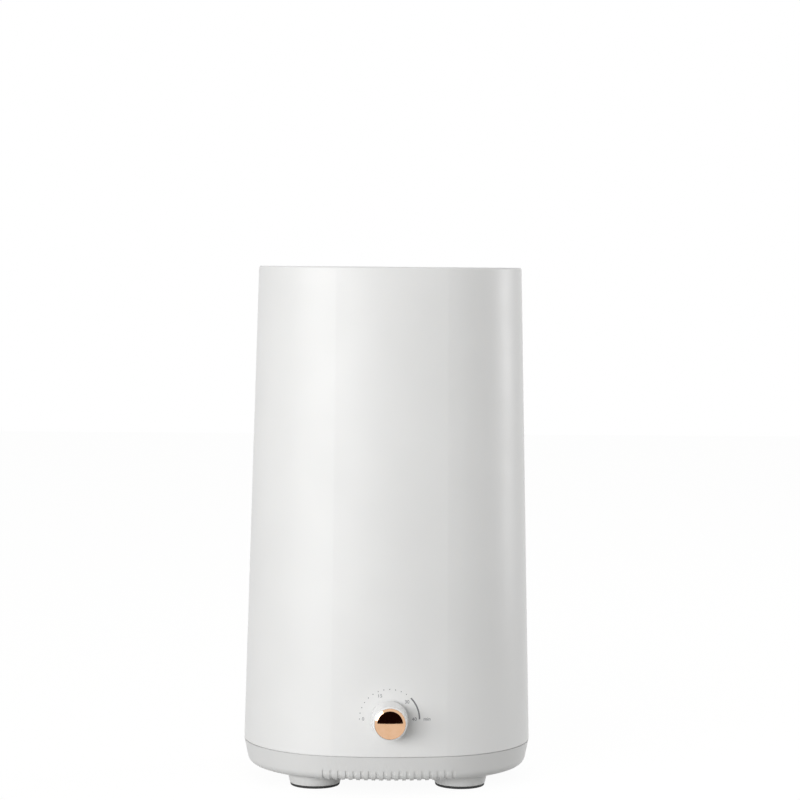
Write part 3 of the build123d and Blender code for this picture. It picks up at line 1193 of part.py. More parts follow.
with BuildPart() as chopstick_basket:
    with BuildSketch(Plane.XY.offset(INSERT_BOTTOM_Z)):
        add(insert_outline(0, BASKET_LOW_X, BASKET_HIGH_X))
    extrude(amount=INSERT_TOP_Z - INSERT_BOTTOM_Z)
    with BuildSketch(Plane.XY.offset(INSERT_BOTTOM_Z + INSERT_FLOOR)):
        add(insert_outline(INSERT_WALL, BASKET_LOW_X, BASKET_HIGH_X))
        with Locations((DIVIDER_X - DIVIDER_WALL / 2, 0)):
            Rectangle(
                SEAM_HALF_WIDTH,
                2 * SEAM_HALF_DEPTH,
                align=(Align.MAX, Align.CENTER),
                mode=Mode.INTERSECT,
            )
    extrude(amount=INSERT_TOP_Z - INSERT_BOTTOM_Z, mode=Mode.SUBTRACT)
    with BuildSketch(Plane.XY.offset(INSERT_BOTTOM_Z)) as cutlery_plan:
        add(insert_outline(INSERT_WALL, BASKET_LOW_X, BASKET_HIGH_X))
        with Locations((DIVIDER_X + DIVIDER_WALL / 2, 0)):
            Rectangle(
                SEAM_HALF_WIDTH,
                2 * SEAM_HALF_DEPTH,
                align=(Align.MIN, Align.CENTER),
                mode=Mode.INTERSECT,
            )
    extrude(amount=CUTLERY_FLOOR_Z - INSERT_BOTTOM_Z, mode=Mode.SUBTRACT)
    with BuildSketch(Plane.XY.offset(CUTLERY_FLOOR_Z + INSERT_FLOOR)):
        add(cutlery_plan.sketch_local)
    extrude(amount=INSERT_TOP_Z - CUTLERY_FLOOR_Z, mode=Mode.SUBTRACT)
    with BuildSketch(facing_front(-SEAM_HALF_DEPTH)):
        add(vent_slots(CELL_VENTS, CELL_VENT_X))
        add(vent_slots(CUTLERY_VENTS, CUTLERY_VENT_X))
    extrude(amount=2 * SEAM_HALF_DEPTH, mode=Mode.SUBTRACT)
    with BuildSketch(Plane.YZ.offset(SIDE_VENT_START)):
        add(vent_slots(SIDE_VENTS, SIDE_VENT_Y))
    extrude(amount=SEAM_HALF_WIDTH - SIDE_VENT_START, mode=Mode.SUBTRACT)
    with BuildSketch(Plane.XY.offset(INSERT_BOTTOM_Z)):
        add(drain_slots(CELL_DRAINS, CELL_DRAIN_X, CELL_DRAIN_Y, CELL_DRAIN_LENGTH))
    extrude(amount=INSERT_FLOOR, mode=Mode.SUBTRACT)
    with BuildSketch(Plane.XY.offset(CUTLERY_FLOOR_Z)):
        add(drain_slots(CUTLERY_DRAINS, CUTLERY_DRAIN_X, 0, CUTLERY_DRAIN_LENGTH))
    extrude(amount=INSERT_FLOOR, mode=Mode.SUBTRACT)
    with BuildSketch(Plane.XY.offset(LEG_BOTTOM_Z)):
        with Locations(*INNER_LEG_POINTS):
            Circle(LEG_RADIUS)
    extrude(amount=INSERT_BOTTOM_Z - LEG_BOTTOM_Z)
    with BuildSketch(Plane.XY.offset(LEG_BOTTOM_Z)):
        with Locations(OUTER_LEG_POINT):
            Circle(LEG_RADIUS)
    extrude(amount=CUTLERY_FLOOR_Z - LEG_BOTTOM_Z)
nodes["chopstick_basket"] = chopstick_basket

# --- Control board ------------------------------------------------------------------------

BOARD_BOTTOM_Z = PAN_FLOOR_Z + BOARD_POST_HEIGHT
BOARD_TOP_Z = BOARD_BOTTOM_Z + BOARD_THICKNESS

with BuildPart() as control_board:
    with BuildSketch(Plane.XY.offset(BOARD_BOTTOM_Z)):
        with Locations((BOARD_X, 0)):
            Rectangle(BOARD_WIDTH, BOARD_DEPTH)
        with Locations(*BOARD_POINTS):
            Circle(SMALL_SCREW_RADIUS + PASS_CLEARANCE, mode=Mode.SUBTRACT)
    extrude(amount=BOARD_THICKNESS)
nodes["control_board"] = control_board

with BuildPart() as board_components:
    on_board = (Align.CENTER, Align.CENTER, Align.MIN)
    with Locations((BOARD_X + RELAY_PLACE[0], RELAY_PLACE[1], BOARD_TOP_Z)):
        Box(*RELAY, align=on_board)
    with Locations((BOARD_X + TRANSFORMER_PLACE[0], TRANSFORMER_PLACE[1], BOARD_TOP_Z)):
        Box(*TRANSFORMER, align=on_board)
    with Locations((BOARD_X, CONNECTOR_Y, BOARD_TOP_Z)):
        Box(*CONNECTOR, align=on_board)
    with Locations((BOARD_X + CAPACITOR_PLACE[0], CAPACITOR_PLACE[1], BOARD_TOP_Z)):
        Cylinder(CAPACITOR_RADIUS, CAPACITOR_HEIGHT, align=on_board)
nodes["board_components"] = board_components

with BuildPart() as board_screws:
    with Locations(*[(x, y, BOARD_TOP_Z) for x, y in BOARD_POINTS]):
        Cylinder(
            SMALL_SCREW_HEAD_RADIUS,
            SMALL_SCREW_HEAD_HEIGHT,
            align=(Align.CENTER, Align.CENTER, Align.MIN),
        )
        Cylinder(
            SMALL_SCREW_RADIUS,
            BOARD_THICKNESS + SMALL_SCREW_BITE,
            align=(Align.CENTER, Align.CENTER, Align.MAX),
        )
nodes["board_screws"] = board_screws

# --- Lamp ballast -------------------------------------------------------------------------

BALLAST_BOTTOM_Z = PAN_FLOOR_Z + BALLAST_POST_HEIGHT

with BuildPart() as lamp_ballast:
    with BuildSketch(Plane.XY.offset(BALLAST_BOTTOM_Z)):
        with Locations((BALLAST_X, 0)):
            RectangleRounded(BALLAST_WIDTH, BALLAST_DEPTH, BALLAST_ROUND)
    extrude(amount=BALLAST_HEIGHT)
    with BuildSketch(Plane.XY.offset(BALLAST_BOTTOM_Z)):
        with Locations((BALLAST_X, 0)):
            Rectangle(BALLAST_EAR_WIDTH, BALLAST_DEPTH + 2 * BALLAST_EAR_DEPTH)
    extrude(amount=BALLAST_EAR_THICKNESS)
    with Locations(
        *[(x, y, BALLAST_BOTTOM_Z + BALLAST_EAR_THICKNESS) for x, y in BALLAST_POINTS]
    ):
        Hole(SMALL_SCREW_RADIUS + PASS_CLEARANCE, depth=BALLAST_EAR_THICKNESS)
nodes["lamp_ballast"] = lamp_ballast

with BuildPart() as ballast_screws:
    with Locations(
        *[(x, y, BALLAST_BOTTOM_Z + BALLAST_EAR_THICKNESS) for x, y in BALLAST_POINTS]
    ):
        Cylinder(
            SMALL_SCREW_HEAD_RADIUS,
            SMALL_SCREW_HEAD_HEIGHT,
            align=(Align.CENTER, Align.CENTER, Align.MIN),
        )
        Cylinder(
            SMALL_SCREW_RADIUS,
            BALLAST_EAR_THICKNESS + SMALL_SCREW_BITE,
            align=(Align.CENTER, Align.CENTER, Align.MAX),
        )
nodes["ballast_screws"] = ballast_screws

# --- Internal leads -----------------------------------------------------------------------

CONNECTOR_TOP_Z = BOARD_TOP_Z + CONNECTOR[2]
TAB_END_Y = TAB_LENGTH - CASE_BACK
BALLAST_TOP_Z = BALLAST_BOTTOM_Z + BALLAST_HEIGHT
SPIGOT_END_Z = CHAMBER_FLOOR_Z - LAMP_SPIGOT_BELOW


def plug(place):
    """Where a lead enters the board's connector, counted from its left end."""
    return (BOARD_X + (place - 2.5) * CONNECTOR_PITCH, CONNECTOR_Y, CONNECTOR_TOP_Z)


def above(point, rise):
    """The point this far straight above another."""
    return (point[0], point[1], point[2] + rise)


BALLAST_LAMP_PLUGS = [
    (BALLAST_X + side * BALLAST_LEAD_SPACING / 2, BALLAST_LEAD_Y, BALLAST_TOP_Z)
    for side in (-1, 1)
]


nodes["timer_leads"] = leads(
    [
        (-TAB_SPACING / 2, TAB_END_Y, DIAL_Z),
        (-8.0, -7.0, 44.0),
        (-14.0, 0.5, 43.0),
        (-24.0, 1.5, 41.0),
        (-33.5, -4.5, 38.5),
        above(plug(5), 9.4),
        plug(5),
    ],
    [
        (TAB_SPACING / 2, TAB_END_Y, DIAL_Z),
        (8.0, -6.0, 44.0),
        (0.5, 5.0, 43.0),
        (-15.0, 9.5, 41.5),
        (-30.0, 7.0, 40.0),
        (-39.5, -2.5, 37.5),
        above(plug(4), 9.4),
        plug(4),
    ],
)

nodes["heater_leads"] = leads(
    [
        (-FAN_SIZE / 2 - CUTOUT_HEIGHT, AIR_Y + CUTOUT_Y, CHAMBER_FLOOR_Z - HEATER_HEIGHT / 2),
        (-46.0, 8.0, 89.5),
        (-55.0, 6.0, 84.0),
        (-60.0, 2.0, 74.0),
        (-61.0, -4.0, 62.0),
        (-59.5, -11.0, 50.0),
        above(plug(0), PLUG_RISE),
        plug(0),
    ],
    [
        (-FAN_SIZE / 2, AIR_Y + HEATER_LEAD_Y, CHAMBER_FLOOR_Z - HEATER_HEIGHT / 2),
        (-40.0, -14.0, 89.5),
        (-48.0, -15.0, 84.0),
        (-52.5, -16.5, 74.0),
        (-53.5, -17.5, 62.0),
        (-53.0, -17.0, 50.0),
        above(plug(1), PLUG_RISE),
        plug(1),
    ],
)

nodes["fan_lead"] = leads(
    [
        (-FAN_SIZE / 2, AIR_Y + FAN_LEAD_Y, FAN_BOTTOM_Z + FAN_LEAD_RISE),
        (-38.0, -18.0, 70.0),
        (-44.5, -19.0, 65.5),
        (-48.0, -18.5, 57.5),
        (-49.0, -17.0, 48.0),
        above(plug(2), FAN_PLUG_RISE),
        plug(2),
    ],
)

nodes["ballast_lead"] = leads(
    [
        plug(3),
        above(plug(3), 7.4),
        (-39.5, -20.8, 37.0),
        (-29.0, -18.5, 35.0),
        (-16.0, -12.5, 30.5),
        (0.0, -8.5, 27.0),
        (18.0, -6.0, 22.5),
        (BALLAST_X - BALLAST_WIDTH / 2, -BALLAST_LEAD_Y, BALLAST_BOTTOM_Z + BALLAST_HEIGHT / 2),
    ],
)

nodes["lamp_leads"] = leads(
    [
        (-LAMP_LEAD_SPACING / 2, LAMP_Y, SPIGOT_END_Z),
        (-2.2, LAMP_Y, 80.0),
        (-0.5, LAMP_Y - 1.5, 66.0),
        (8.0, 36.0, 53.0),
        (20.0, 25.0, 45.0),
        (33.0, 14.0, 42.0),
        above(BALLAST_LAMP_PLUGS[0], 7.5),
        BALLAST_LAMP_PLUGS[0],
    ],
    [
        (LAMP_LEAD_SPACING / 2, LAMP_Y, SPIGOT_END_Z),
        (2.2, LAMP_Y, 80.0),
        (4.5, LAMP_Y - 1.2, 67.0),
        (14.0, 37.0, 56.0),
        (27.0, 27.0, 50.0),
        (40.0, 16.0, 46.0),
        above(BALLAST_LAMP_PLUGS[1], 9.5),
        BALLAST_LAMP_PLUGS[1],
    ],
)

# --- Write every piece --------------------------------------------------------------------

os.makedirs("parts", exist_ok=True)
for name, node in nodes.items():
    node.part.label = name
    export_step(node.part, f"parts/{name}.step")
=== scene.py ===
"""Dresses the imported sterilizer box: plastics, metals, glass, dial print, studio and camera.

Metres, +Z up, the dial facing -Y.
"""

import json
import math

import bmesh
import bpy
from mathutils import Matrix, Vector


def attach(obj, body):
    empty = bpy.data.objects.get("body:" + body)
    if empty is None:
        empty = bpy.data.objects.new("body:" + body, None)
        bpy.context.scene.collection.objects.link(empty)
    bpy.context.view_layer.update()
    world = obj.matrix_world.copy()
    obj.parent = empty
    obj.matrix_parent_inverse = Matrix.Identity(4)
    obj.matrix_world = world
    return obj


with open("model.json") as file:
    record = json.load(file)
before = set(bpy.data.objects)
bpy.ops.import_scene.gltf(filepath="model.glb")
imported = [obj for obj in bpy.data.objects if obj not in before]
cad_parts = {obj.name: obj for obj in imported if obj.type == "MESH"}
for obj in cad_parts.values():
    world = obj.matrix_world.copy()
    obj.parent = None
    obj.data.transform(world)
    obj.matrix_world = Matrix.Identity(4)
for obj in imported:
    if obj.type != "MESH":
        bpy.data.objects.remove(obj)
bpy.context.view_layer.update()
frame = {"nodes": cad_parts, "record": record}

MM = 0.001

# --- Body form, as the shell has it: four tangent arcs that lean in towards the rim ----------
HALF_WIDTH = 82.0 * MM
HALF_DEPTH = 64.0 * MM
SIDE_BULGE = 2.0 * MM  # how far the front arc stands out past the end arcs
END_RADIUS = HALF_DEPTH - SIDE_BULGE
END_CENTRE = HALF_WIDTH - END_RADIUS
SIDE_RADIUS = (END_CENTRE**2 + HALF_DEPTH**2 - END_RADIUS**2) / (2 * (HALF_DEPTH - END_RADIUS))
SIDE_CENTRE = SIDE_RADIUS - HALF_DEPTH
DRAFT_DEG = 1.482
LEAN = math.tan(math.radians(DRAFT_DEG))
SEAM_Z = 22.5 * MM
DIAL_Z = 43.4 * MM


# --- Camera, floor and lamps ------------------------------------------------------------------

IMAGE_WIDTH_PX = 800
FOCAL_PX = 2540
SENSOR_MM = 36.0
CAMERA_SIDE = 6.1 * MM
CAMERA_BACK = 1455.0 * MM
CAMERA_HEIGHT = 293.0 * MM
CAMERA_PITCH = math.radians(3.0)
CAMERA_ROLL = math.radians(0.48)
CAMERA_AZIMUTH = math.radians(-1.6)


def set_camera():
    """The photograph's long lens, level with the rim and tilted a little down."""
    lens = bpy.data.cameras.new("camera")
    lens.sensor_width = SENSOR_MM
    lens.lens = FOCAL_PX / IMAGE_WIDTH_PX * SENSOR_MM
    lens.clip_start = 0.05
    camera = bpy.data.objects.new("camera", lens)
    bpy.context.scene.collection.objects.link(camera)
    tilt = Matrix.Rotation(math.pi / 2 - CAMERA_PITCH, 4, "X")
    roll = Matrix.Rotation(CAMERA_ROLL, 4, "Z")
    turn = Matrix.Rotation(CAMERA_AZIMUTH, 4, "Z")
    place = Matrix.Translation((CAMERA_SIDE, -CAMERA_BACK, CAMERA_HEIGHT))
    camera.matrix_world = turn @ place @ tilt @ roll
    bpy.context.scene.camera = camera


def linear(hex_colour):
    """An sRGB hex value as linear red, green, blue and full alpha."""
    shares = [int(hex_colour[i : i + 2], 16) / 255 for i in (0, 2, 4)]
    return (*[s / 12.92 if s <= 0.04045 else ((s + 0.055) / 1.055) ** 2.4 for s in shares], 1.0)


def add_node(tree, kind, settings=None, links=None):
    """A shader node with its settings, and with its inputs linked to other nodes' outputs."""
    node = tree.nodes.new(kind)
    for name, value in (settings or {}).items():
        if isinstance(name, int) or name in node.inputs:
            node.inputs[name].default_value = value
        else:
            setattr(node, name, value)
    for name, source in (links or {}).items():
        tree.links.new(source, node.inputs[name])
    return node


def new_material(name):
    """An empty material and its node tree, with its output node."""
    material = bpy.data.materials.new(name)
    material.use_nodes = True
    material.node_tree.nodes.clear()
    output = add_node(material.node_tree, "ShaderNodeOutputMaterial")
    return material, material.node_tree, output


PAPER_GLOW = 1.26  # a little over white, so that the floor meets the background
SHADOW_KEPT = 0.25  # how much of the floor's own shading the camera sees
FLOOR_SIZE = 6.0


def seen_directly(tree):
    """One for rays from the camera, and for mirrored or refracted ones, otherwise nothing."""
    path = add_node(tree, "ShaderNodeLightPath")
    mirrored = add_node(
        tree,
        "ShaderNodeMath",
        {"operation": "MAXIMUM"},
        {0: path.outputs["Is Camera Ray"], 1: path.outputs["Is Glossy Ray"]},
    )
    refracted = add_node(
        tree,
        "ShaderNodeMath",
        {"operation": "MAXIMUM"},
        {0: mirrored.outputs[0], 1: path.outputs["Is Transmission Ray"]},
    )
    return refracted.outputs[0]


def seamless_paper():
    """White background paper: lit paper to the object, almost blown out where it is seen."""
    material, tree, output = new_material("white_background_paper")
    paper = add_node(tree, "ShaderNodeBsdfDiffuse", {"Color": linear("A8A8A6")})
    white = add_node(tree, "ShaderNodeEmission", {"Color": (1, 1, 1, 1), "Strength": PAPER_GLOW})
    share = add_node(
        tree, "ShaderNodeMath", {"operation": "MULTIPLY", 1: 1 - SHADOW_KEPT}, {0: seen_directly(tree)}
    )
    mix = add_node(
        tree, "ShaderNodeMixShader", {}, {0: share.outputs[0], 1: paper.outputs[0], 2: white.outputs[0]}
    )
    tree.links.new(mix.outputs[0], output.inputs["Surface"])
    return material


def set_floor():
    """A plain pale floor under the object."""
    mesh = bpy.data.meshes.new("floor")
    reach = FLOOR_SIZE / 2
    corners = [(-reach, -reach, 0), (reach, -reach, 0), (reach, reach, 0), (-reach, reach, 0)]
    mesh.from_pydata(corners, [], [(0, 1, 2, 3)])
    floor = bpy.data.objects.new("floor", mesh)
    bpy.context.scene.collection.objects.link(floor)
    mesh.materials.append(seamless_paper())


WORLD_LIGHT = 0.4


def set_world():
    """A white studio: soft light on the object, and a white background where it is seen."""
    world = bpy.data.worlds.new("studio")
    bpy.context.scene.world = world
    world.use_nodes = True
    tree = world.node_tree
    tree.nodes.clear()
    strength = add_node(
        tree, "ShaderNodeMapRange", {"To Min": WORLD_LIGHT, "To Max": 1.0}, {"Value": seen_directly(tree)}
    )
    sky = add_node(
        tree, "ShaderNodeBackground", {"Color": (1, 1, 1, 1)}, {"Strength": strength.outputs[0]}
    )
    output = add_node(tree, "ShaderNodeOutputWorld")
    tree.links.new(sky.outputs[0], output.inputs["Surface"])


AIM = Vector((0.0, 0.0, 0.15))
LAMP_ELEVATION_DEG = 8.5
FRONT_DISTANCE, FRONT_WIDTH, FRONT_HEIGHT = 2.4, 1.27, 1.0
RIM_DISTANCE, RIM_WIDTH, RIM_HEIGHT = 1.7, 0.6, 0.9


def add_softbox(name, azimuth_deg, distance, width, height, power):
    """A rectangular lamp aimed at the middle of the object. Azimuth 0 is the front, 90 the right."""
    lamp = bpy.data.lights.new(name, "AREA")
    lamp.shape = "RECTANGLE"
    lamp.size = width
    lamp.size_y = height
    lamp.energy = power
    softbox = bpy.data.objects.new(name, lamp)
    bpy.context.scene.collection.objects.link(softbox)
    azimuth = math.radians(azimuth_deg)
    elevation = math.radians(LAMP_ELEVATION_DEG)
    towards = Vector(
        (
            math.sin(azimuth) * math.cos(elevation),
            -math.cos(azimuth) * math.cos(elevation),
            math.sin(elevation),
        )
    )
    softbox.location = AIM + towards * distance
    softbox.rotation_euler = towards.to_track_quat("Z", "Y").to_euler()


def set_lamps():
    """Two big softboxes at the front left, and a weak one behind the right side."""
    add_softbox("side_softbox", -52, FRONT_DISTANCE, FRONT_WIDTH, FRONT_HEIGHT, 13.0)
    add_softbox("front_softbox", -26, FRONT_DISTANCE, FRONT_WIDTH, FRONT_HEIGHT, 23.2)
    add_softbox("rim_softbox", 105, RIM_DISTANCE, RIM_WIDTH, RIM_HEIGHT, 8.9)


FLAG_Y = -330.0 * MM
FLAG_HEIGHT = 80.0 * MM
FLAG_HALF_WIDTH = 100.0 * MM


def set_flag():
    """A low dark card in front, seen only in reflections: the dark half of the knob's cap."""
    material, tree, output = new_material("dark_flock_card")
    flock = add_node(tree, "ShaderNodeBsdfDiffuse", {"Color": linear("2A1410")})
    tree.links.new(flock.outputs[0], output.inputs["Surface"])
    mesh = bpy.data.meshes.new("flag")
    corners = [
        (-FLAG_HALF_WIDTH, FLAG_Y, 0),
        (FLAG_HALF_WIDTH, FLAG_Y, 0),
        (FLAG_HALF_WIDTH, FLAG_Y, FLAG_HEIGHT),
        (-FLAG_HALF_WIDTH, FLAG_Y, FLAG_HEIGHT),
    ]
    mesh.from_pydata(corners, [], [(0, 1, 2, 3)])
    mesh.materials.append(material)
    flag = bpy.data.objects.new("flag", mesh)
    bpy.context.scene.collection.objects.link(flag)
    flag.visible_camera = False
    flag.visible_diffuse = False
    flag.visible_shadow = False
    flag.visible_transmission = False


# --- Materials --------------------------------------------------------------------------------


def finish(name, shades, shade_mm, roughness, rough_mm, grain_mm, grain_depth_mm, **sockets):
    """A surface of two close shades, with roughness that drifts and a fine grain.

    The shades, the roughness and the grain each have their own size, in millimetres, and
    sockets are set on the shader.  Gives the material, its shader and its coordinates.
    """
    material, tree, output = new_material(name)
    place = add_node(tree, "ShaderNodeTexCoord").outputs["Object"]
    patches = add_node(
        tree, "ShaderNodeTexNoise", {"Scale": 1 / (shade_mm * MM), "Detail": 2.0}, {"Vector": place}
    )
    shade = add_node(tree, "ShaderNodeValToRGB", {}, {"Fac": patches.outputs["Fac"]})
    for end, position, colour in zip(shade.color_ramp.elements, (0.35, 0.65), shades):
        end.position = position
        end.color = linear(colour)
    wear = add_node(
        tree, "ShaderNodeTexNoise", {"Scale": 1 / (rough_mm * MM), "Detail": 2.0}, {"Vector": place}
    )
    rough = add_node(
        tree,
        "ShaderNodeMapRange",
        {"From Min": 0.3, "From Max": 0.7, "To Min": roughness[0], "To Max": roughness[1]},
        {"Value": wear.outputs["Fac"]},
    )
    grain = add_node(
        tree, "ShaderNodeTexNoise", {"Scale": 1 / (grain_mm * MM), "Detail": 3.0}, {"Vector": place}
    )
    relief = add_node(
        tree, "ShaderNodeBump", {"Distance": grain_depth_mm * MM}, {"Height": grain.outputs["Fac"]}
    )
    shader = add_node(
        tree,
        "ShaderNodeBsdfPrincipled",
        sockets,
        {
            "Base Color": shade.outputs["Color"],
            "Roughness": rough.outputs["Result"],
            "Normal": relief.outputs["Normal"],
        },
    )
    tree.links.new(shader.outputs[0], output.inputs["Surface"])
    return material, shader, place


def deep_milk(depth_mm):
    """Light that scatters this deep under a white plastic, a little further for red."""
    return {
        "Subsurface Weight": 0.06,
        "Subsurface Radius": (1.0, 0.9, 0.8),
        "Subsurface Scale": depth_mm * MM,
    }


# ABS from a spark-eroded mould: an even milky white whose fine pits spread every highlight.
SHELL_WHITE = finish(
    "white_abs_spark_eroded", ("EFEFEE", "F2F2F1"), 60.0, (0.36, 0.42), 25.0, 0.5, 0.006,
    IOR=1.53, **deep_milk(1.2),
)[0]
# The base pan and feet in the shell's ABS made a shade greyer: painted shade, for the darker band below
# the seam.
BASE_WHITE_PAINTED_SHADE = finish(
    "white_abs_base_painted_shade", ("E5E5E4", "E8E8E7"), 60.0, (0.38, 0.44), 25.0, 0.5, 0.006,
    IOR=1.53, **deep_milk(1.2),
)[0]
# ABS from a polished mould: the knob is a shade whiter and glossier than the body.
KNOB_WHITE = finish(
    "white_abs_polished", ("F3F3F2", "F6F6F5"), 12.0, (0.16, 0.22), 6.0, 0.8, 0.002,
    IOR=1.53, **{"Coat Weight": 0.3, "Coat Roughness": 0.1},
)[0]
# Rose gold plating on a polished disc: a warm pink mirror with the faintest haze.
ROSE_GOLD = finish(
    "rose_gold_plated_brass", ("DFB48F", "E3BA98"), 4.0, (0.03, 0.05), 3.0, 1.6, 0.0004,
    Metallic=1.0,
)[0]
# Moulded rubber: near black and matt, with a fine grit that breaks up its highlight.
PAD_RUBBER = finish(
    "black_rubber_moulded", ("2B2B2B", "353535"), 3.0, (0.72, 0.85), 2.0, 0.35, 0.02, IOR=1.52
)[0]
# Moulded polypropylene of the chamber: a waxy white, a little greyer than the body.
LINER_WHITE = finish(
    "white_polypropylene_moulded", ("E4E4E2", "E9E9E7"), 30.0, (0.42, 0.5), 12.0, 0.7, 0.01,
    IOR=1.49, **deep_milk(1.0),
)[0]
# Moulded polypropylene of the tray, rack and basket: pale grey, waxy, slightly glossy.
INSERT_GREY = finish(
    "pale_grey_polypropylene_moulded", ("D3D4D3", "DADBDA"), 25.0, (0.38, 0.48), 10.0, 0.6, 0.012,
    IOR=1.49,
)[0]
# Cast silicone rubber: a dull translucent white that looks slightly dusty.
SEAL_SILICONE = finish(
    "translucent_silicone_cast", ("D9D9D6", "E0E0DD"), 8.0, (0.5, 0.62), 5.0, 0.5, 0.008, IOR=1.41
)[0]
# Soft moulded PVC of the cord gland: matt white.
GLAND_PVC = finish(
    "white_pvc_moulded", ("E3E3E1", "E8E8E6"), 6.0, (0.5, 0.6), 3.0, 0.4, 0.01, IOR=1.53
)[0]
# Natural nylon of the timer's case: cream and dull.
TIMER_NYLON = finish(
    "natural_nylon_moulded", ("DAD3C0", "E2DCCB"), 9.0, (0.45, 0.55), 4.0, 0.5, 0.01, IOR=1.53
)[0]
# Zinc plating: bluish grey, cloudy in patches where the bath left its spangle.
ZINC_STEEL = finish(
    "zinc_plated_steel", ("A9ABAD", "BFC1C3"), 1.5, (0.28, 0.42), 1.2, 0.3, 0.004, Metallic=1.0
)[0]
# Bare stamped brass: yellow, a little dulled by handling.
STAMPED_BRASS = finish(
    "brass_stamped", ("B6924E", "CBA762"), 2.5, (0.25, 0.38), 1.5, 0.25, 0.004, Metallic=1.0
)[0]
# Bright rolled aluminium of the reflector: a soft mirror with a slight waviness.
ROLLED_ALUMINIUM = finish(
    "aluminium_bright_rolled", ("D6D7D9", "E0E1E3"), 15.0, (0.12, 0.2), 6.0, 4.0, 0.01, Metallic=1.0
)[0]
# Dull aluminium fins of the heater: grey, with hardly any reflection left.
FIN_ALUMINIUM = finish(
    "aluminium_fins_dull", ("A8A8A8", "BABABA"), 3.0, (0.35, 0.5), 2.0, 0.3, 0.006, Metallic=1.0
)[0]
# Glass filled black plastic of the fan: charcoal with a faint sparkle.
FAN_PLASTIC = finish(
    "black_pbt_glass_filled", ("151515", "1E1E1F"), 1.0, (0.4, 0.55), 0.8, 0.3, 0.008, IOR=1.57
)[0]
# Pressed phenolic of the heater's frame: dark brown and slightly glossy.
HEATER_PHENOLIC = finish(
    "brown_phenolic_pressed", ("2C1F18", "3A2A20"), 2.0, (0.35, 0.5), 1.5, 0.5, 0.01, IOR=1.6
)[0]
# Moulded epoxy of the relay, transformer and ballast: dull black.
CASE_EPOXY = finish(
    "black_epoxy_moulded", ("1B1B1D", "252527"), 3.0, (0.45, 0.6), 1.5, 0.3, 0.01, IOR=1.55
)[0]
# Extruded silicone insulation of the leads: off-white and slightly rubbery.
LEAD_SILICONE = finish(
    "white_silicone_extruded", ("DBD7CC", "E4E0D6"), 5.0, (0.45, 0.55), 2.0, 0.4, 0.006, IOR=1.41
)[0]
# Glazed ceramic of the lamp base: clean white, glossy, with a faint orange peel.
LAMP_CERAMIC = finish(
    "white_ceramic_glazed", ("ECEBE7", "F1F0EC"), 8.0, (0.12, 0.2), 4.0, 1.5, 0.004, IOR=1.55
)[0]
# Drawn quartz tube: clear and slightly blue, with faint streaks from drawing.
LAMP_QUARTZ = finish(
    "fused_quartz_drawn", ("E8F0F6", "F2F6FA"), 10.0, (0.04, 0.12), 6.0, 5.0, 0.004,
    IOR=1.46, **{"Transmission Weight": 0.85},
)[0]
# Pad-printed ink of the dial: flat grey, thinner in places.
DIAL_INK = finish(
    "grey_ink_pad_printed", ("76767A", "808084"), 1.2, (0.5, 0.65), 0.8, 0.25, 0.002, IOR=1.5
)[0]

WIRE_MM = 0.4  # enamelled wire of the fan's winding
LINE_MM = 0.25  # one brush line, drawn coarser than the real one so that it shows
STROKE_MM = 30.0  # length of a brush line
THREAD_MM = 0.7  # glass cloth under the solder mask


def wound_copper():
    """Enamelled copper wire: glossy red-brown ridges, one wire apart."""
    material, shader, place = finish(
        "enamelled_copper_winding", ("9A5226", "C47A45"), 2.0, (0.3, 0.45), 1.0, 0.4, 0.01,
        Metallic=1.0, **{"Coat Weight": 0.5, "Coat Roughness": 0.15},
    )
    tree = material.node_tree
    turns = add_node(
        tree,
        "ShaderNodeTexWave",
        {"bands_direction": "Z", "Scale": math.pi / (10 * WIRE_MM * MM), "Distortion": 0.6},
        {"Vector": place},
    )
    ridges = add_node(tree, "ShaderNodeBump", {"Distance": 0.1 * MM}, {"Height": turns.outputs["Fac"]})
    tree.links.new(ridges.outputs["Normal"], shader.inputs["Normal"])
    return material


def brushed_stainless():
    """Brushed stainless sheet: upright lines stretch each highlight across the guard."""
    material, shader, place = finish(
        "stainless_steel_brushed", ("B4B4B2", "C3C3C1"), 20.0, (0.26, 0.36), 5.0, 1.0, 0.004,
        Metallic=1.0,
    )
    tree = material.node_tree
    across, along = 1 / (LINE_MM * MM), 1 / (STROKE_MM * MM)
    stretched = add_node(tree, "ShaderNodeMapping", {"Scale": (across, across, along)}, {"Vector": place})
    strokes = add_node(
        tree, "ShaderNodeTexNoise", {"Scale": 1.0}, {"Vector": stretched.outputs["Vector"]}
    )
    lines = add_node(tree, "ShaderNodeBump", {"Distance": 0.01 * MM}, {"Height": strokes.outputs["Fac"]})
    tree.links.new(lines.outputs["Normal"], shader.inputs["Normal"])
    return material


def circuit_board():
    """Solder mask over glass cloth: glossy green, with the weave faintly raised."""
    material, shader, place = finish(
        "green_solder_mask_board", ("0F5A2C", "187038"), 4.0, (0.2, 0.35), 3.0, 0.7, 0.005, IOR=1.55
    )
    tree = material.node_tree
    cloth = add_node(
        tree,
        "ShaderNodeTexBrick",
        {"Scale": 1 / (THREAD_MM * MM), "Mortar Size": 0.05, "Brick Width": 1.0, "Row Height": 1.0},
        {"Vector": place},
    )
    weave = add_node(tree, "ShaderNodeBump", {"Distance": 0.01 * MM}, {"Height": cloth.outputs["Fac"]})
    tree.links.new(weave.outputs["Normal"], shader.inputs["Normal"])
    return material


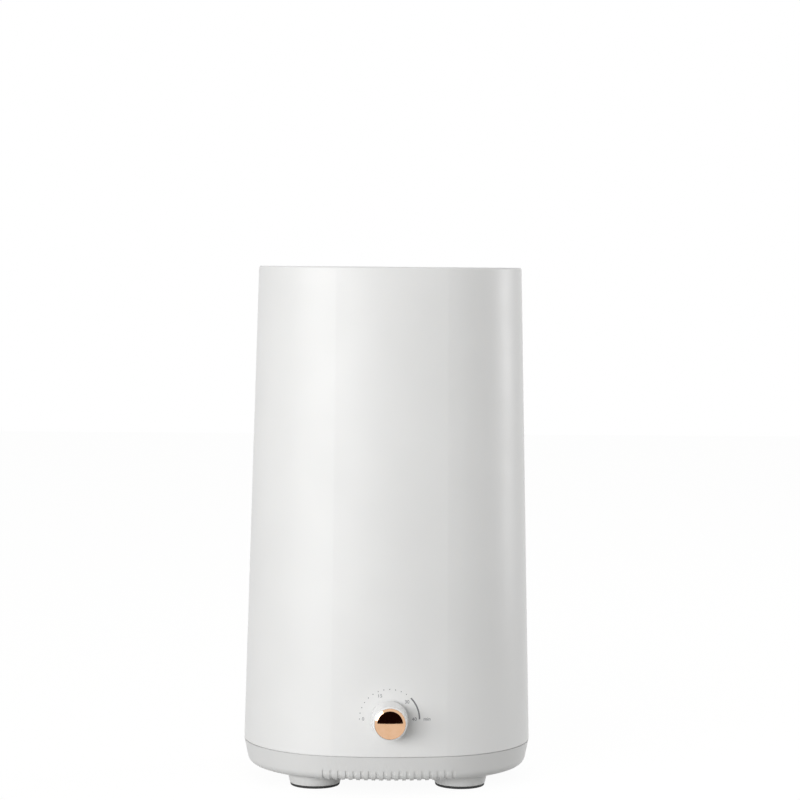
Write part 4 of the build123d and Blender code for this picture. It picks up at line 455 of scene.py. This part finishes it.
SLOT_MATERIALS = {
    "shell_white": SHELL_WHITE,
    # The feet get the greyed white, painted shade below the seam.
    "foot_plastic": BASE_WHITE_PAINTED_SHADE,
    "pad_rubber": PAD_RUBBER,
    "knob_white": KNOB_WHITE,
    "cap_rose_gold": ROSE_GOLD,
    "steel": ZINC_STEEL,
    "brass": STAMPED_BRASS,
    "movement_plastic": TIMER_NYLON,
    "liner_white": LINER_WHITE,
    "seal_silicone": SEAL_SILICONE,
    "insert_white": INSERT_GREY,
    "guard_steel": brushed_stainless(),
    "reflector_aluminium": ROLLED_ALUMINIUM,
    "lamp_base_white": LAMP_CERAMIC,
    "lamp_glass": LAMP_QUARTZ,
    "fan_black": FAN_PLASTIC,
    "copper_winding": wound_copper(),
    "heater_phenolic": HEATER_PHENOLIC,
    "heater_aluminium": FIN_ALUMINIUM,
    "gland_rubber": GLAND_PVC,
    "board_green": circuit_board(),
    "component_black": CASE_EPOXY,
    "lead_insulation": LEAD_SILICONE,
}


def dress_cad_nodes():
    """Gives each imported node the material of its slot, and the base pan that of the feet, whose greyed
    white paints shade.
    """
    slots = {part["node"]: part["material_slot"] for part in frame["record"]["subparts"]}
    for name, node in frame["nodes"].items():
        material = BASE_WHITE_PAINTED_SHADE if name == "base_pan" else SLOT_MATERIALS[slots[name]]
        node.data.materials.clear()
        node.data.materials.append(material)


# --- Dial print -------------------------------------------------------------------------------

PRINT_HEIGHT = 0.03 * MM  # ink above the shell
PRINT_ROOT = 0.05 * MM  # ink below the shell's surface
SCALE_RADIUS = 16.6 * MM
ARC_WIDTH = 0.78 * MM
ARC_FROM_DEG = 0.0
ARC_TO_DEG = 45.0
DOT_RADIUS = 0.27 * MM
DOT_STEP_DEG = 11.25  # two and a half minutes
DOTS = 12
DIGIT_HEIGHT = 1.9 * MM
CAPITAL_SHARE = 0.7  # height of a digit as a share of the font's size
ZERO_X = -14.6 * MM
ARC_STEPS = 24
DOT_SIDES = 16
MINUTE_MARKS = {"15": (112.5, 14.0 * MM), "30": (45.0, 13.6 * MM), "40": (0.0, 13.8 * MM)}
UNIT_RADIUS = 20.8 * MM


def front_surface(x, z):
    """Depth of the shell's front face at this place."""
    inset = (z - SEAM_Z) * LEAN
    return SIDE_CENTRE - math.sqrt((SIDE_RADIUS - inset) ** 2 - x**2)


def print_on_shell(name, flat):
    """Wraps a flat outline, drawn in X and Y about the dial's axis, onto the shell as ink."""
    flat.faces.ensure_lookup_table()
    sheet = bmesh.ops.extrude_face_region(flat, geom=list(flat.faces))
    raised = {v for v in sheet["geom"] if isinstance(v, bmesh.types.BMVert)}
    for vertex in flat.verts:
        x, z = vertex.co.x, DIAL_Z + vertex.co.y
        lift = PRINT_HEIGHT if vertex in raised else -PRINT_ROOT
        vertex.co = (x, front_surface(x, z) - lift, z)
    bmesh.ops.recalc_face_normals(flat, faces=flat.faces)
    mesh = bpy.data.meshes.new(name)
    flat.to_mesh(mesh)
    flat.free()
    piece = bpy.data.objects.new(name, mesh)
    bpy.context.scene.collection.objects.link(piece)
    mesh.materials.append(DIAL_INK)
    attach(piece, "housing")


def print_arc():
    """The solid stretch of the scale, thirty to forty minutes."""
    flat = bmesh.new()
    pairs = []
    for step in range(ARC_STEPS + 1):
        angle = math.radians(ARC_FROM_DEG + (ARC_TO_DEG - ARC_FROM_DEG) * step / ARC_STEPS)
        pair = []
        for radius in (SCALE_RADIUS - ARC_WIDTH / 2, SCALE_RADIUS + ARC_WIDTH / 2):
            pair.append(flat.verts.new((radius * math.cos(angle), radius * math.sin(angle), 0)))
        pairs.append(pair)
    for (inner, outer), (next_inner, next_outer) in zip(pairs, pairs[1:]):
        flat.faces.new((inner, outer, next_outer, next_inner))
    print_on_shell("dial_arc", flat)


def print_dots():
    """A dot each two and a half minutes, from zero up to the solid arc."""
    flat = bmesh.new()
    for dot in range(DOTS):
        angle = math.radians(180 - dot * DOT_STEP_DEG)
        centre = Vector((SCALE_RADIUS * math.cos(angle), SCALE_RADIUS * math.sin(angle), 0))
        bmesh.ops.create_circle(
            flat,
            cap_ends=True,
            segments=DOT_SIDES,
            radius=DOT_RADIUS,
            matrix=Matrix.Translation(centre),
        )
    print_on_shell("dial_dots", flat)


def print_text(name, words, centre, height):
    """Plain numbers or a unit, with its middle at this place."""
    text = bpy.data.curves.new(name, "FONT")
    text.body = words
    text.align_x = "CENTER"
    text.align_y = "CENTER"
    text.size = height / CAPITAL_SHARE
    writing = bpy.data.objects.new(name, text)
    bpy.context.scene.collection.objects.link(writing)
    bpy.context.view_layer.update()
    outline = bpy.data.meshes.new_from_object(writing)
    bpy.data.objects.remove(writing)
    flat = bmesh.new()
    flat.from_mesh(outline)
    bpy.data.meshes.remove(outline)
    bmesh.ops.remove_doubles(flat, verts=flat.verts, dist=1e-7)
    bmesh.ops.translate(flat, verts=flat.verts, vec=(*centre, 0))
    print_on_shell(name, flat)


def print_dial():
    """The whole scale: arc, dots, numbers and unit."""
    print_arc()
    print_dots()
    for words, (angle_deg, radius) in MINUTE_MARKS.items():
        angle = math.radians(angle_deg)
        centre = (radius * math.cos(angle), radius * math.sin(angle))
        print_text("dial_number_" + words, words, centre, DIGIT_HEIGHT)
    print_text("dial_number_0", "0", (ZERO_X, 0.0), DIGIT_HEIGHT)
    print_text("dial_unit", "min", (UNIT_RADIUS, 0.0), DIGIT_HEIGHT)


# --- Put it together --------------------------------------------------------------------------

bpy.context.scene.view_settings.view_transform = "Standard"
set_camera()
set_world()
set_lamps()
set_floor()
set_flag()
dress_cad_nodes()
print_dial()
